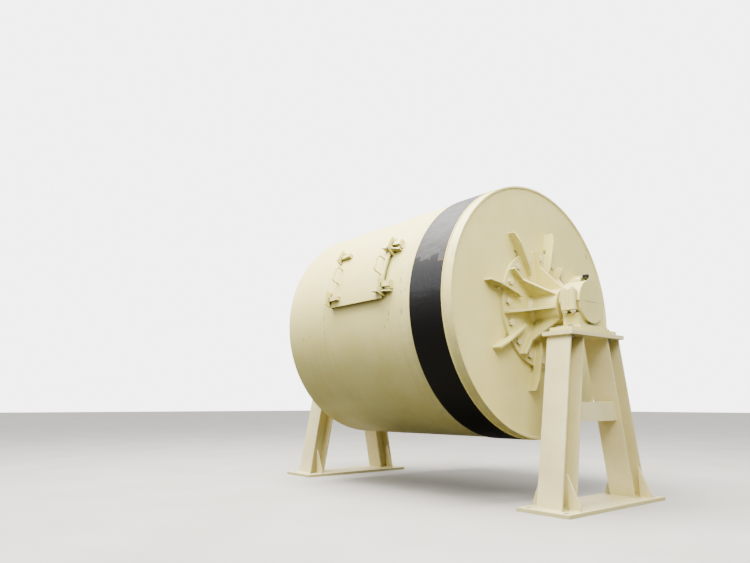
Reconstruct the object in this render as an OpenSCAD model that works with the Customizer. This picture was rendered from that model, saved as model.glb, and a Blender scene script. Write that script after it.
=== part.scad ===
// Batch ball mill: a belt-driven drum on two bearing stands.
// X runs along the drum's axis, towards the drive end. Z is up, and the floor is z = 0.
// The origin is on the floor, midway between the two stands.

/* [Drum shell] */
// Outer diameter of the shell
shell_d = 2100; // [1800:10:2400]
// Length of the shell, over its rims
shell_len = 2200; // [2000:10:2800]
// Thickness of the shell plate
shell_t = 16; // [10:1:24]
// Thickness of a head plate
head_t = 25; // [16:1:36]
// How far a head plate lies behind the rim
head_inset = 8; // [4:1:14]

/* [Drive band] */
// Width of the belt track
band_w = 361; // [200:1:420]
// Distance from the rim to the belt track
band_from_rim = 91; // [60:1:140]
// Thickness of the belt track
band_t = 6; // [3:1:12]

/* [Hub] */
// Diameter of the hub flange
flange_d = 976; // [940:2:1010]
// Thickness of the hub flange
flange_t = 25; // [18:1:32]
// Diameter of the hub neck
neck_d = 276; // [250:2:300]
// Reach of the neck beyond the rim
neck_reach = 262; // [240:1:275]
// Number of gussets on the hub
gusset_n = 8; // [6:1:8]
// Thickness of a gusset
gusset_t = 16; // [12:1:22]
// Angle of the first gusset, from straight out at the camera side
gusset_phase = 36.7; // [0:0.1:45]

/* [Long ribs] */
// Radius that the rib tips reach
rib_r = 695; // [660:5:760]
// Greatest height of a rib above the head plate
rib_h = 91; // [70:1:110]
// Thickness of a rib
rib_t = 16; // [12:1:24]

/* [Hub bolts] */
// Radius of the hub bolt circle
hub_bolt_circle_r = 430; // [415:1:440]
// Diameter of a hub bolt
hub_bolt_d = 30; // [20:1:32]

/* [Trunnion and bearing] */
// Height of the drum's axis above the floor
axis_h = 1500; // [1350:10:1900]
// Diameter of the trunnion journal
journal_d = 160; // [140:2:170]
// Radial clearance of the journal in its bush
journal_clear = 0.05; // [0.03:0.01:0.09]
// Wall thickness of the bearing bush
bush_t = 20; // [12:1:24]
// Distance from the rim to the middle of the bearing
bearing_from_rim = 400; // [390:1:440]
// Length of the bearing housing along the axis
bearing_len = 176; // [166:2:190]
// Height of the journal's axis above the bearing's foot
bearing_h = 240; // [225:1:270]
// Outer radius of the bearing cap
cap_r = 172; // [160:1:185]
// Outer radius of the bearing base
base_r = 163; // [155:1:175]
// Wall of the housing's ends
end_wall = 14; // [8:1:20]
// Distance between the cap bolts along the axis
cap_bolt_gap = 72; // [66:1:84]
// Diameter of a cap bolt
cap_bolt_d = 24; // [18:1:26]
// Diameter of the bosses round the cap bolts
boss_d = 56; // [50:1:60]
// Height of the bosses on the cap
boss_top = 88; // [70:1:100]
// Depth of the bosses on the base
boss_bottom = 68; // [55:1:80]
// Width of the raised pad on the cap
pad_w = 74; // [60:1:90]
// Height of the raised pad above the cap's crown
pad_h = 35; // [24:1:44]
// Length of the bearing's foot across the axis
bearing_foot_len = 620; // [580:5:680]
// Thickness of the bearing's foot
bearing_foot_t = 32; // [24:1:40]
// Diameter of a hold-down bolt
hold_down_d = 24; // [18:1:28]
// Distance between the hold-down bolts along the axis
hold_down_gap = 100; // [90:1:120]

/* [Manhole] */
// Angle of the manhole's middle above the level
manhole_angle = 19.3; // [0:0.1:40]
// Length of the manhole cover along the axis
cover_w = 690; // [640:5:760]
// Angle that the cover spans round the drum
cover_span = 30.4; // [27:0.1:36]
// Thickness of the cover
cover_t = 14; // [10:1:20]
// Thickness of the frame under the cover
frame_t = 24; // [16:1:30]
// How far the cover reaches past its frame on each side
cover_lip = 30; // [15:1:40]
// Length of the opening along the axis
opening_w = 520; // [420:5:540]
// Height of the opening round the drum
opening_h = 430; // [340:5:440]
// Diameter of the handle rod
handle_d = 14; // [10:1:18]
// Width of a handle
handle_w = 142; // [120:1:170]
// How far a handle stands off the cover
handle_reach = 70; // [60:1:90]
// Distance from the drive side handle to the cover's edge
handle_edge_drive = 43; // [30:1:70]
// Distance from the tail side handle to the cover's edge
handle_edge_tail = 63; // [30:1:70]

/* [Clamps] */
// Angle between a drive side clamp and the manhole's middle
clamp_angle_drive = 10.2; // [9.5:0.1:11]
// Angle between a tail side clamp and the manhole's middle
clamp_angle_tail = 11.2; // [9.5:0.1:11.5]
// Gap between the cover's edge and a tall lug
lug_gap = 6; // [4:1:12]
// Thickness of a lug
lug_t = 14; // [10:1:18]
// Height of a tall lug above the shell
lug_h = 98; // [92:1:110]
// Length of a tall lug round the drum
lug_len = 117; // [112:1:130]
// Height of a low lug above the shell
low_lug_h = 53; // [50:1:60]
// Clear distance between a tall lug and its low one
lug_clear = 66; // [50:1:90]
// Thickness of a clamp block at its thick end, outwards
block_t = 38; // [34:1:42]
// Run of a block's slope for each millimetre that it gets thinner
block_slope_run = 10; // [9:1:14]
// Height of a clamp block, round the drum
block_h = 38; // [30:1:42]
// Length of a block that is drawn in over the cover
block_len = 146; // [136:1:160]
// Thickness of a flat bar
bar_t = 10; // [6:1:12]
// Reach of a flat bar over the cover
bar_in = 67; // [40:1:80]
// Reach of a flat bar past the cover's edge
bar_out = 105; // [90:1:125]

/* [Stands] */
// Length of a stand's foot plate across the axis
foot_len = 1300; // [1200:10:1500]
// Width of a stand's foot plate along the axis
foot_w = 420; // [380:5:480]
// Thickness of the foot plate
foot_t = 25; // [20:1:40]
// Length of a stand's top plate across the axis
top_len = 720; // [700:10:800]
// Width of a stand's top plate along the axis
top_w = 260; // [230:5:260]
// Thickness of the top plate
top_t = 30; // [20:1:40]
// Depth of a leg, across the axis
leg_depth = 180; // [140:5:200]
// Width of a leg's flanges, along the axis
leg_w = 200; // [160:5:210]
// Thickness of the leg's flanges
leg_flange_t = 14; // [10:1:18]
// Thickness of the leg's web
leg_web_t = 9; // [7:1:12]
// Height of the tie beam's middle above the floor
tie_z = 675; // [550:5:800]
// Height of the tie beam
tie_h = 140; // [100:5:180]
// Width of the tie beam along the axis
tie_w = 120; // [80:5:160]
// Height of a leg's stiffeners above the foot plate
stiffener_h = 235; // [150:5:300]
// Thickness of a stiffener
stiffener_t = 14; // [10:1:18]
// Distance between the legs' middles at the floor
leg_foot_gap = 960; // [900:10:1000]
// Distance between the legs' middles at the top
leg_top_gap = 490; // [470:10:520]
// Diameter of an anchor hole
anchor_d = 36; // [24:1:40]
// Distance from an anchor hole to the foot plate's edges
anchor_edge = 60; // [50:1:70]

/* [Hidden] */
$fn = 96;

cream = "#e6e0c4";
dark = "#2b2a2c";
steel = "#a8a6a0";
bronze = "#b08a4a";

// Gap left between two welded or seated round faces
seat_gap = 0.3;
// Facets of a large round seat, so that small plates sit true on it
seat_fn = 720;
shell_r = shell_d / 2;
rim_x = shell_len / 2;
head_x = rim_x - head_inset;
head_r = shell_r - shell_t - seat_gap;
flange_r = flange_d / 2;
flange_x = head_x + flange_t;
neck_r = neck_d / 2;
neck_x = rim_x + neck_reach;

// Hub bolts: one in each bay between a gusset and a rib, with its nut inside the drum
hub_bolt_n = 2 * gusset_n;
hole_clear = 2;
nut_share = 0.8;
bolt_stub = 6;

// Long ribs: half a gusset pitch away from the gussets
rib_inner_r = 300;
rib_crown = 83;
rib_crown_r = rib_inner_r + rib_crown;
rib_shoulder = 100;
rib_drop = 23;
rib_phase = gusset_phase + 180 / gusset_n;
rib_notch_r = 27;
rib_notch_at = flange_r + rib_notch_r;

// Gussets: they rise from the flange to the neck
gusset_tip_r = flange_r - 6;
gusset_kink_r = 347;
gusset_top = 53;
gusset_end_x = neck_x - 6;
neck_fillet = 26;

// Trunnion and bearing
journal_r = journal_d / 2;
shank_r = journal_r - 6;
shank_clear = 0.05;
bearing_x = rim_x + bearing_from_rim;
bush_r = journal_r + journal_clear;
bush_outer_r = bush_r + bush_t;
bush_clear = 0.05;
seal_clear = 4;
end_play = 16;
shoulder = 12;
cap_bolt_x = cap_bolt_gap / 2;
boss_r = boss_d / 2;
boss_y = cap_r + 10;
boss_web = 14;
pedestal_in = 16;
pedestal_out = 26;
pedestal_y = base_r - 8;
pedestal_top = 90;
plinth_y = base_r + 24;
plinth_h = bearing_foot_t + 24;
foot_lip = 6;
hold_down_edge = 55;
hold_down_y = bearing_foot_len / 2 - hold_down_edge;
hold_down_x = hold_down_gap / 2;
pad_chamfer = 12;
pad_crest_x = -18;
pad_fall = 6;
cup_x = 49;
cup_bore = 16;
cup_flare = 17;
pad_end_x = cup_x - 30;
cup_depth = 24;
cup_stem_h = 8;
cup_bowl_z = 28;
cup_groove_z = 38;
cup_groove = 2;
cup_top = 50;
cup_round = 3;

// Manhole
frame_r = shell_r + frame_t;
cover_in_r = frame_r + seat_gap;
cover_r = cover_in_r + cover_t;
lip_angle = cover_lip / frame_r * 180 / PI;
opening_corner_r = 60;
handle_drive_x = cover_w / 2 - handle_edge_drive;
handle_tail_x = cover_w / 2 - handle_edge_tail;
handle_bend = 22;

// Clamps: heights are local, straight out from the drum's axis.
// A window in each tall lug takes the block, and a notch below it takes the flat bar.
clamp_x = cover_w / 2;
lug_top = shell_r + lug_h;
window_slit = 7;
block_t_at_lug = block_t - (block_len - lug_t) / block_slope_run;
window_top = cover_r + seat_gap + block_t_at_lug + window_slit;
window_below = 25;
window_spare = 16;
window_above = block_h + window_spare - window_below;
lug_root = 10;
lug_flare = 25;
low_lug_x = lug_gap + lug_t + lug_clear;
low_lug_top = shell_r + low_lug_h;
low_lug_below = 22;
low_lug_above = 50;
low_lug_cut = 10;
open_block_t = block_t - 4;
open_block_z = window_top - window_slit - open_block_t;
open_block_y = window_above - seat_gap - block_h;
shut_block_z = cover_r + seat_gap;
shut_block_y = seat_gap - window_below;
block_fit = 0.5;
pin_d = 10;
pin_x = 30;
bar_below = 42;
bar_rise = 55;
bar_toe = 33;
bar_inner_top = cover_r + bar_rise;
bar_outer_top = shell_r + bar_toe;
bar_edge_gap = 3;

// Stands
foot_z = axis_h - bearing_h;
leg_top_z = foot_z - top_t;
anchor_x = foot_w / 2 - anchor_edge;
anchor_y = foot_len / 2 - anchor_edge;
stiffener_edge = 20;
stiffener_toe = 30;

// Turns a shape whose height is along Z so that its height is along X.
// Its own X becomes Y, and its own Y becomes Z.
module along_x() {
    rotate([90, 0, 90]) children();
}

// Puts a shape on the drum's axis
module on_axis() {
    translate([0, 0, axis_h]) children();
}

// Turns local +Z to point straight out of the drum, at an angle above the level.
// Local X stays along the drum and local Y runs upwards round it.
module out_at(angle) {
    rotate([90 - angle, 0, 0]) children();
}

// Mirrors a drive end piece to the tail end
module tail_end() {
    mirror([1, 0, 0]) children();
}

// A curved plate, centred on local +Z
module arc_plate(r_in, r_out, width, span) {
    along_x()
    translate([0, 0, -width / 2])
    rotate([0, 0, 90 - span / 2])
    rotate_extrude(angle = span)
    translate([r_in, 0])
    square([r_out - r_in, width]);
}

// A hexagon bar, standing on z = 0
module hex(flats, height) {
    cylinder(d = flats / cos(30), h = height, $fn = 6);
}

// A hexagon bolt along Z: its head stands on z = 0 and its nut is under the grip
module hex_bolt(d, grip, nut_t, stub) {
    hex(1.55 * d, 0.64 * d);
    translate([0, 0, -grip - nut_t - stub]) cylinder(d = d, h = grip + nut_t + stub);
    translate([0, 0, -grip - nut_t]) hex(1.55 * d, nut_t);
}

module shell() {
    color(cream)
    on_axis()
    difference() {
        along_x() translate([0, 0, -shell_len / 2]) cylinder(r = shell_r, h = shell_len);
        along_x() translate([0, 0, -shell_len / 2 - 1]) cylinder(r = shell_r - shell_t, h = shell_len + 2);
        out_at(manhole_angle) manhole_cut();
    }
}

// The opening's rounded outline, cut straight through
module manhole_cut() {
    flat_w = opening_w - 2 * opening_corner_r;
    flat_h = opening_h - 2 * opening_corner_r;
    translate([0, 0, shell_r / 2])
    linear_extrude(height = shell_r)
    union() {
        square([flat_w, opening_h], center = true);
        square([opening_w, flat_h], center = true);
        for (sx = [-1, 1], sy = [-1, 1])
            translate([sx * flat_w / 2, sy * flat_h / 2]) circle(r = opening_corner_r);
    }
}

module drive_band() {
    color(dark)
    on_axis()
    along_x()
    translate([0, 0, rim_x - band_from_rim - band_w])
    difference() {
        cylinder(r = shell_r + seat_gap + band_t, h = band_w);
        translate([0, 0, -1]) cylinder(r = shell_r + seat_gap, h = band_w + 2);
    }
}

// Places one child at every hub bolt, pointing along X
module at_hub_bolts() {
    for (i = [0 : hub_bolt_n - 1])
        out_at(rib_phase + (i + 0.5) * 360 / hub_bolt_n)
        translate([0, 0, hub_bolt_circle_r])
        along_x()
        children();
}

module head() {
    color(cream)
    on_axis()
    difference() {
        along_x() translate([0, 0, head_x - head_t]) cylinder(r = head_r, h = head_t);
        at_hub_bolts()
            translate([0, 0, head_x - head_t - 1])
            cylinder(r = (hub_bolt_d + hole_clear) / 2, h = head_t + 2);
    }
}

// A rib's side view: x along the axis, y is the distance from the axis
module rib_outline() {
    edge = head_x + rib_h;
    difference() {
        polygon([
            [head_x, flange_r + 1],
            [head_x, rib_r],
            [edge - rib_drop, rib_r - 7],
            [edge, rib_r - rib_shoulder],
            [edge - 6, rib_crown_r],
            [edge - rib_drop, rib_inner_r],
            [flange_x, rib_inner_r],
            [flange_x, flange_r + 1]
        ]);
        translate([head_x, rib_notch_at]) circle(r = rib_notch_r);
    }
}

module ribs() {
    color(cream)
    on_axis()
    for (i = [0 : gusset_n - 1])
        out_at(rib_phase + i * 360 / gusset_n)
        rotate([90, 0, 0])
        translate([0, 0, -rib_t / 2])
        linear_extrude(height = rib_t)
        rib_outline();
}

module hub() {
    color(cream)
    on_axis()
    difference() {
        along_x()
            rotate_extrude()
            polygon([
                [shank_r + shank_clear, head_x],
                [flange_r, head_x],
                [flange_r, flange_x],
                [neck_r + neck_fillet, flange_x],
                [neck_r, flange_x + neck_fillet],
                [neck_r, neck_x],
                [shank_r + shank_clear, neck_x]
            ]);
        at_hub_bolts()
            translate([0, 0, head_x - 1])
            cylinder(r = (hub_bolt_d + hole_clear) / 2, h = flange_t + 2);
    }
}

// A gusset's side view: from the flange's edge to the neck's end
module gusset_outline() {
    polygon([
        [flange_x, gusset_tip_r],
        [flange_x + gusset_top, gusset_tip_r],
        [flange_x + gusset_top - 2, gusset_kink_r],
        [gusset_end_x, neck_r + 2],
        [flange_x + neck_fillet + 2, neck_r + 2],
        [flange_x, neck_r + neck_fillet + 4]
    ]);
}

module gussets() {
    color(cream)
    on_axis()
    for (i = [0 : gusset_n - 1])
        out_at(gusset_phase + i * 360 / gusset_n)
        rotate([90, 0, 0])
        translate([0, 0, -gusset_t / 2])
        linear_extrude(height = gusset_t)
        gusset_outline();
}

module hub_bolts() {
    color(cream)
    on_axis()
    at_hub_bolts()
        translate([0, 0, flange_x])
        hex_bolt(hub_bolt_d, flange_t + head_t, nut_share * hub_bolt_d, bolt_stub);
}

module trunnion() {
    shoulder_x = neck_x + shoulder;
    end_x = bearing_x + bearing_len / 2 - end_wall - end_play;
    color(steel)
    on_axis()
    along_x()
    rotate_extrude()
    polygon([
        [0, head_x],
        [shank_r, head_x],
        [shank_r, neck_x],
        [journal_r + 10, neck_x],
        [journal_r + 10, shoulder_x],
        [journal_r, shoulder_x],
        [journal_r, end_x - 4],
        [journal_r - 4, end_x],
        [0, end_x]
    ]);
}

module manhole_frame() {
    color(cream)
    on_axis()
    out_at(manhole_angle)
    difference() {
        arc_plate(shell_r + seat_gap, frame_r, cover_w - 2 * cover_lip, cover_span - 2 * lip_angle);
        manhole_cut();
    }
}

module manhole_cover() {
    color(cream)
    on_axis()
    out_at(manhole_angle)
    arc_plate(cover_in_r, cover_r, cover_w, cover_span);
}

// One pull handle, bent from round rod: two legs, two bends and a grip
module handle() {
    leg_y = handle_w / 2;
    foot_r = sqrt(cover_r * cover_r - leg_y * leg_y) + 2 * seat_gap;
    grip_r = cover_r + handle_reach;
    for (side = [0, 1]) mirror([0, side, 0]) {
        translate([0, leg_y, grip_r - handle_bend])
            mirror([0, 0, 1])
            cylinder(d = handle_d, h = grip_r - handle_bend - foot_r);
        translate([0, leg_y - handle_bend, grip_r - handle_bend])
            rotate([90, 0, 90])
            rotate_extrude(angle = 90)
            translate([handle_bend, 0])
            circle(d = handle_d);
    }
    translate([0, -leg_y + handle_bend, grip_r])
        rotate([-90, 0, 0])
        cylinder(d = handle_d, h = handle_w - 2 * handle_bend);
}

module manhole_handles() {
    color(cream)
    on_axis()
    out_at(manhole_angle)
    for (x = [-handle_tail_x, handle_drive_x]) translate([x, 0, 0]) handle();
}

// Places the two clamps beside one side edge of the cover. +X points away from the cover.
module at_side_clamps(side, angle) {
    on_axis()
    for (up = [-1, 1])
        mirror([side, 0, 0])
        out_at(manhole_angle + up * angle)
        translate([clamp_x, 0, 0])
        children();
}

module at_drive_clamps() {
    at_side_clamps(0, clamp_angle_drive) children();
}

module at_tail_clamps() {
    at_side_clamps(1, clamp_angle_tail) children();
}

// Cuts a shape so that it seats on a round surface
module seated_on(r, low_x, high_x) {
    difference() {
        children();
        translate([low_x, 0, 0]) along_x() cylinder(r = r + seat_gap, h = high_x - low_x, $fn = seat_fn);
    }
}

// A tall lug's side view, with the block's window open to the shell and a flared foot
module tall_lug_outline(notched) {
    low = shell_r - lug_root;
    difference() {
        polygon([
            [-lug_len / 2 - lug_flare, low],
            [lug_len / 2, low],
            [lug_len / 2, lug_top],
            [-lug_len / 2, lug_top]
        ]);
        translate([-window_below, low - 1]) square([window_below + window_above, window_top - low + 1]);
        if (notched)
            translate([-bar_below - bar_t / 2 - block_fit, low - 1])
            square([bar_t + 2 * block_fit, bar_top_at(lug_gap) + block_fit - low + 1]);
    }
}

module tall_lug(notched) {
    seated_on(shell_r, 0, low_lug_x)
    translate([lug_gap, 0, 0])
    along_x()
    linear_extrude(height = lug_t)
    tall_lug_outline(notched);
}

// A low lug: the block's thin end rests on its step
module low_lug() {
    low = shell_r - lug_root;
    seated_on(shell_r, lug_gap, low_lug_x + 2 * lug_t)
    translate([low_lug_x, 0, 0])
    along_x()
    linear_extrude(height = lug_t)
    polygon([
        [-low_lug_below, low],
        [low_lug_above, low],
        [low_lug_above, low_lug_top - low_lug_cut],
        [low_lug_above - low_lug_cut, low_lug_top],
        [open_block_y + block_h + block_fit, low_lug_top],
        [open_block_y + block_h + block_fit, open_block_z - block_fit],
        [-low_lug_below, open_block_z - block_fit]
    ]);
}

module clamp_cover_lugs() {
    color(cream) {
        at_drive_clamps() tall_lug(true);
        at_tail_clamps() tall_lug(false);
    }
}

module clamp_shell_lugs() {
    color(cream) {
        at_drive_clamps() low_lug();
        at_tail_clamps() low_lug();
    }
}

// How high a flat bar's sloping top edge lies, at a distance past the cover's edge
function bar_top_at(x) =
    bar_inner_top + (bar_outer_top - bar_inner_top) * (x + bar_in) / (bar_in + bar_out);

// Flat bars on edge: they step from the cover down to the shell, through the drive side lugs
module clamp_bars() {
    low = shell_r - lug_root;
    color(cream)
    at_drive_clamps()
    seated_on(cover_r, -bar_in - 1, bar_edge_gap)
    seated_on(shell_r, -bar_in - 1, bar_out + 1)
    translate([0, bar_t / 2 - bar_below, 0])
    rotate([90, 0, 0])
    linear_extrude(height = bar_t)
    polygon([
        [-bar_in, low],
        [bar_out, low],
        [bar_out, bar_outer_top],
        [-bar_in, bar_inner_top]
    ]);
}

// A clamp block: a wedge along X with its thin end away from the cover
module wedge(length, thickness) {
    translate([0, block_h, 0])
    rotate([90, 0, 0])
    linear_extrude(height = block_h)
    polygon([
        [0, 0],
        [length, 0],
        [length, thickness - length / block_slope_run],
        [0, thickness]
    ]);
}

// Blocks: drawn out onto the low lugs on the drive side, driven in over the cover on the tail side
module clamp_blocks() {
    color(cream) {
        at_drive_clamps()
            translate([lug_gap, open_block_y, open_block_z])
            wedge(low_lug_x + lug_t - lug_gap, open_block_t);
        at_tail_clamps()
            translate([lug_gap + lug_t - block_len, shut_block_y, shut_block_z])
            difference() {
                wedge(block_len, block_t);
                translate([pin_x, block_h / 2, block_t / 2]) cylinder(d = pin_d, h = block_t);
            }
    }
}

// Places one child at each of a bearing's four cap bolts
module at_cap_bolts() {
    for (sx = [-1, 1], sy = [-1, 1]) translate([sx * cap_bolt_x, sy * boss_y, 0]) children();
}

// Places one child at each of a bearing's four hold-down bolts
module at_hold_downs() {
    for (sx = [-1, 1], sy = [-1, 1]) translate([sx * hold_down_x, sy * hold_down_y, 0]) children();
}

// The hollow that holds the bush, with the journal's way in on the drum's side
module bearing_hollow() {
    half = bearing_len / 2;
    along_x()
        translate([0, 0, -half + end_wall])
        cylinder(r = bush_outer_r + bush_clear, h = bearing_len - 2 * end_wall);
    along_x() translate([0, 0, -half - 1]) cylinder(r = journal_r + seal_clear, h = end_wall + 2);
}

// Joins the bosses on each side of the housing to it, from one height to another
module boss_webs(low, high) {
    for (side = [0, 1])
        mirror([0, side, 0])
        translate([-cap_bolt_x - boss_r + 8, base_r / 2, low])
        cube([2 * (cap_bolt_x + boss_r - 8), boss_y + boss_web - base_r / 2, high - low]);
}

module bearing_base() {
    half = bearing_len / 2;
    foot_half = half + foot_lip;
    color(cream)
    translate([bearing_x, 0, axis_h])
    difference() {
        union() {
            intersection() {
                along_x() translate([0, 0, -half]) cylinder(r = base_r, h = bearing_len);
                translate([-half, -base_r, -base_r]) cube([bearing_len, 2 * base_r, base_r]);
            }
            translate([-half + pedestal_in, -pedestal_y, -bearing_h])
                cube([bearing_len - pedestal_in - pedestal_out, 2 * pedestal_y, bearing_h - pedestal_top]);
            translate([-foot_half, -plinth_y, -bearing_h]) cube([2 * foot_half, 2 * plinth_y, plinth_h]);
            translate([-foot_half, -bearing_foot_len / 2, -bearing_h])
                cube([2 * foot_half, bearing_foot_len, bearing_foot_t]);
            at_cap_bolts() translate([0, 0, -boss_bottom]) cylinder(r = boss_r, h = boss_bottom);
            boss_webs(-boss_bottom, 0);
        }
        bearing_hollow();
        at_cap_bolts()
            translate([0, 0, -boss_bottom - 1])
            cylinder(d = cap_bolt_d + hole_clear, h = boss_bottom + 2);
        at_hold_downs()
            translate([0, 0, -bearing_h - 1])
            cylinder(d = hold_down_d + hole_clear, h = bearing_foot_t + 2);
    }
}

// The raised pad on the cap: it slopes up from the drum's side to a crest, then gently down
module cap_pad() {
    side = pad_w / 2;
    low = cap_r - 2 * pad_chamfer;
    crests = [
        [-bearing_len / 2, cap_r + 2],
        [pad_crest_x, cap_r + pad_h],
        [pad_end_x, cap_r + pad_h - pad_fall]
    ];
    polyhedron(
        points = [for (c = crests) each [
            [c[0], -side, low],
            [c[0], -side, c[1] - pad_chamfer],
            [c[0], pad_chamfer - side, c[1]],
            [c[0], side - pad_chamfer, c[1]],
            [c[0], side, c[1] - pad_chamfer],
            [c[0], side, low]
        ]],
        faces = [
            [5, 4, 3, 2, 1, 0],
            [12, 13, 14, 15, 16, 17],
            for (i = [0, 6], k = [0 : 5]) [i + k, i + (k + 1) % 6, i + 6 + (k + 1) % 6, i + 6 + k]
        ]
    );
}

module bearing_cap() {
    half = bearing_len / 2;
    color(cream)
    translate([bearing_x, 0, axis_h])
    difference() {
        union() {
            intersection() {
                along_x() translate([0, 0, -half]) cylinder(r = cap_r, h = bearing_len);
                translate([-half, -cap_r, 0]) cube([bearing_len, 2 * cap_r, cap_r]);
            }
            at_cap_bolts() cylinder(r = boss_r, h = boss_top);
            boss_webs(0, boss_top);
            cap_pad();
        }
        bearing_hollow();
        at_cap_bolts() translate([0, 0, -1]) cylinder(d = cap_bolt_d + hole_clear, h = boss_top + 2);
        translate([cup_x, 0, cap_r - cup_depth - 2]) cylinder(d = cup_bore, h = 2 * cup_depth);
    }
}

module bearing_bush() {
    color(bronze)
    translate([bearing_x, 0, axis_h])
    along_x()
    translate([0, 0, -bearing_len / 2 + end_wall + 1])
    difference() {
        cylinder(r = bush_outer_r, h = bearing_len - 2 * end_wall - 2);
        translate([0, 0, -1]) cylinder(r = bush_r, h = bearing_len);
    }
}

module cap_bolts() {
    color(cream)
    translate([bearing_x, 0, axis_h])
    at_cap_bolts()
        translate([0, 0, boss_top])
        hex_bolt(cap_bolt_d, boss_top + boss_bottom, nut_share * cap_bolt_d, 2 * bolt_stub);
}

module hold_down_bolts() {
    color(steel)
    translate([bearing_x, 0, foot_z + bearing_foot_t])
    at_hold_downs()
    hex_bolt(hold_down_d, bearing_foot_t + top_t, nut_share * hold_down_d, bolt_stub);
}

// A screwed-in oil cup with a flared bowl and a lid
module oil_cup() {
    stem_r = cup_bore / 2 - seat_gap;
    bowl_r = stem_r + cup_flare;
    color(dark)
    translate([bearing_x + cup_x, 0, axis_h + cap_r])
    rotate_extrude()
    polygon([
        [0, -cup_depth],
        [stem_r, -cup_depth],
        [stem_r, cup_stem_h],
        [bowl_r, cup_bowl_z],
        [bowl_r, cup_groove_z],
        [bowl_r - cup_groove, cup_groove_z + cup_groove / 2],
        [bowl_r - cup_groove, cup_groove_z + 3 * cup_groove / 2],
        [bowl_r, cup_groove_z + 2 * cup_groove],
        [bowl_r, cup_top - cup_round],
        [bowl_r - cup_round, cup_top],
        [0, cup_top]
    ]);
}

module stand_foot() {
    color(cream)
    difference() {
        translate([bearing_x - foot_w / 2, -foot_len / 2, 0]) cube([foot_w, foot_len, foot_t]);
        for (sx = [-1, 1], sy = [-1, 1])
            translate([bearing_x + sx * anchor_x, sy * anchor_y, -1])
            cylinder(d = anchor_d, h = foot_t + 2);
    }
}

module stand_top() {
    color(cream)
    difference() {
        translate([bearing_x - top_w / 2, -top_len / 2, leg_top_z]) cube([top_w, top_len, top_t]);
        translate([bearing_x, 0, leg_top_z - 1])
            at_hold_downs()
            cylinder(d = hold_down_d + hole_clear, h = top_t + 2);
    }
}

// One leg, leaning inwards on the +Y side: an I-section cut level at both ends
module leg() {
    rise = leg_top_z - foot_t;
    lean = (leg_foot_gap - leg_top_gap) / 2;
    half = leg_depth / 2;
    for (at = [-half, half - leg_flange_t])
        translate([bearing_x - leg_w / 2, 0, 0])
        along_x()
        linear_extrude(height = leg_w)
        polygon([
            [leg_foot_gap / 2 + at, foot_t],
            [leg_foot_gap / 2 + at + leg_flange_t, foot_t],
            [leg_foot_gap / 2 + at + leg_flange_t - lean, foot_t + rise],
            [leg_foot_gap / 2 + at - lean, foot_t + rise]
        ]);
    translate([bearing_x - leg_web_t / 2, 0, 0])
        along_x()
        linear_extrude(height = leg_web_t)
        polygon([
            [leg_foot_gap / 2 - half + 1, foot_t],
            [leg_foot_gap / 2 + half - 1, foot_t],
            [leg_foot_gap / 2 + half - 1 - lean, foot_t + rise],
            [leg_foot_gap / 2 - half + 1 - lean, foot_t + rise]
        ]);
}

module stand_legs() {
    color(cream)
    for (side = [0, 1]) mirror([0, side, 0]) leg();
}

// How far the inner face of a leg lies from the middle, at a height
function leg_inner_y(z) =
    leg_foot_gap / 2 - leg_depth / 2
    - (leg_foot_gap - leg_top_gap) / 2 * (z - foot_t) / (leg_top_z - foot_t);

module stand_tie() {
    low = tie_z - tie_h / 2;
    high = tie_z + tie_h / 2;
    color(cream)
    translate([bearing_x - tie_w / 2, 0, 0])
    along_x()
    linear_extrude(height = tie_w)
    polygon([
        [-leg_inner_y(low), low],
        [leg_inner_y(low), low],
        [leg_inner_y(high), high],
        [-leg_inner_y(high), high]
    ]);
}

// Tapered plates that brace each leg's foot along the axis
module stand_stiffeners() {
    reach = foot_w / 2 - stiffener_edge;
    color(cream)
    for (sy = [-1, 1], sx = [0, 1])
        translate([bearing_x, sy * leg_foot_gap / 2 + stiffener_t / 2, 0])
        mirror([sx, 0, 0])
        rotate([90, 0, 0])
        linear_extrude(height = stiffener_t)
        polygon([
            [leg_w / 2, foot_t],
            [reach, foot_t],
            [reach, foot_t + stiffener_toe],
            [leg_w / 2, foot_t + stiffener_h]
        ]);
}

shell();
drive_band();
head();  // head_drive_end
tail_end() head();  // head_tail_end
ribs();  // ribs_drive_end
tail_end() ribs();  // ribs_tail_end
hub();  // hub_drive_end
tail_end() hub();  // hub_tail_end
gussets();  // gussets_drive_end
tail_end() gussets();  // gussets_tail_end
hub_bolts();  // hub_bolts_drive_end
tail_end() hub_bolts();  // hub_bolts_tail_end
trunnion();  // trunnion_drive_end
tail_end() trunnion();  // trunnion_tail_end
manhole_frame();
manhole_cover();
manhole_handles();
clamp_shell_lugs();
clamp_cover_lugs();
clamp_bars();
clamp_blocks();
bearing_base();  // bearing_base_drive_end
tail_end() bearing_base();  // bearing_base_tail_end
bearing_cap();  // bearing_cap_drive_end
tail_end() bearing_cap();  // bearing_cap_tail_end
bearing_bush();  // bearing_bush_drive_end
tail_end() bearing_bush();  // bearing_bush_tail_end
cap_bolts();  // cap_bolts_drive_end
tail_end() cap_bolts();  // cap_bolts_tail_end
hold_down_bolts();  // hold_down_bolts_drive_end
tail_end() hold_down_bolts();  // hold_down_bolts_tail_end
oil_cup();  // oil_cup_drive_end
tail_end() oil_cup();  // oil_cup_tail_end
stand_foot();  // stand_foot_drive_end
tail_end() stand_foot();  // stand_foot_tail_end
stand_top();  // stand_top_drive_end
tail_end() stand_top();  // stand_top_tail_end
stand_legs();  // stand_legs_drive_end
tail_end() stand_legs();  // stand_legs_tail_end
stand_tie();  // stand_tie_drive_end
tail_end() stand_tie();  // stand_tie_tail_end
stand_stiffeners();  // stand_stiffeners_drive_end
tail_end() stand_stiffeners();  // stand_stiffeners_tail_end
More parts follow.
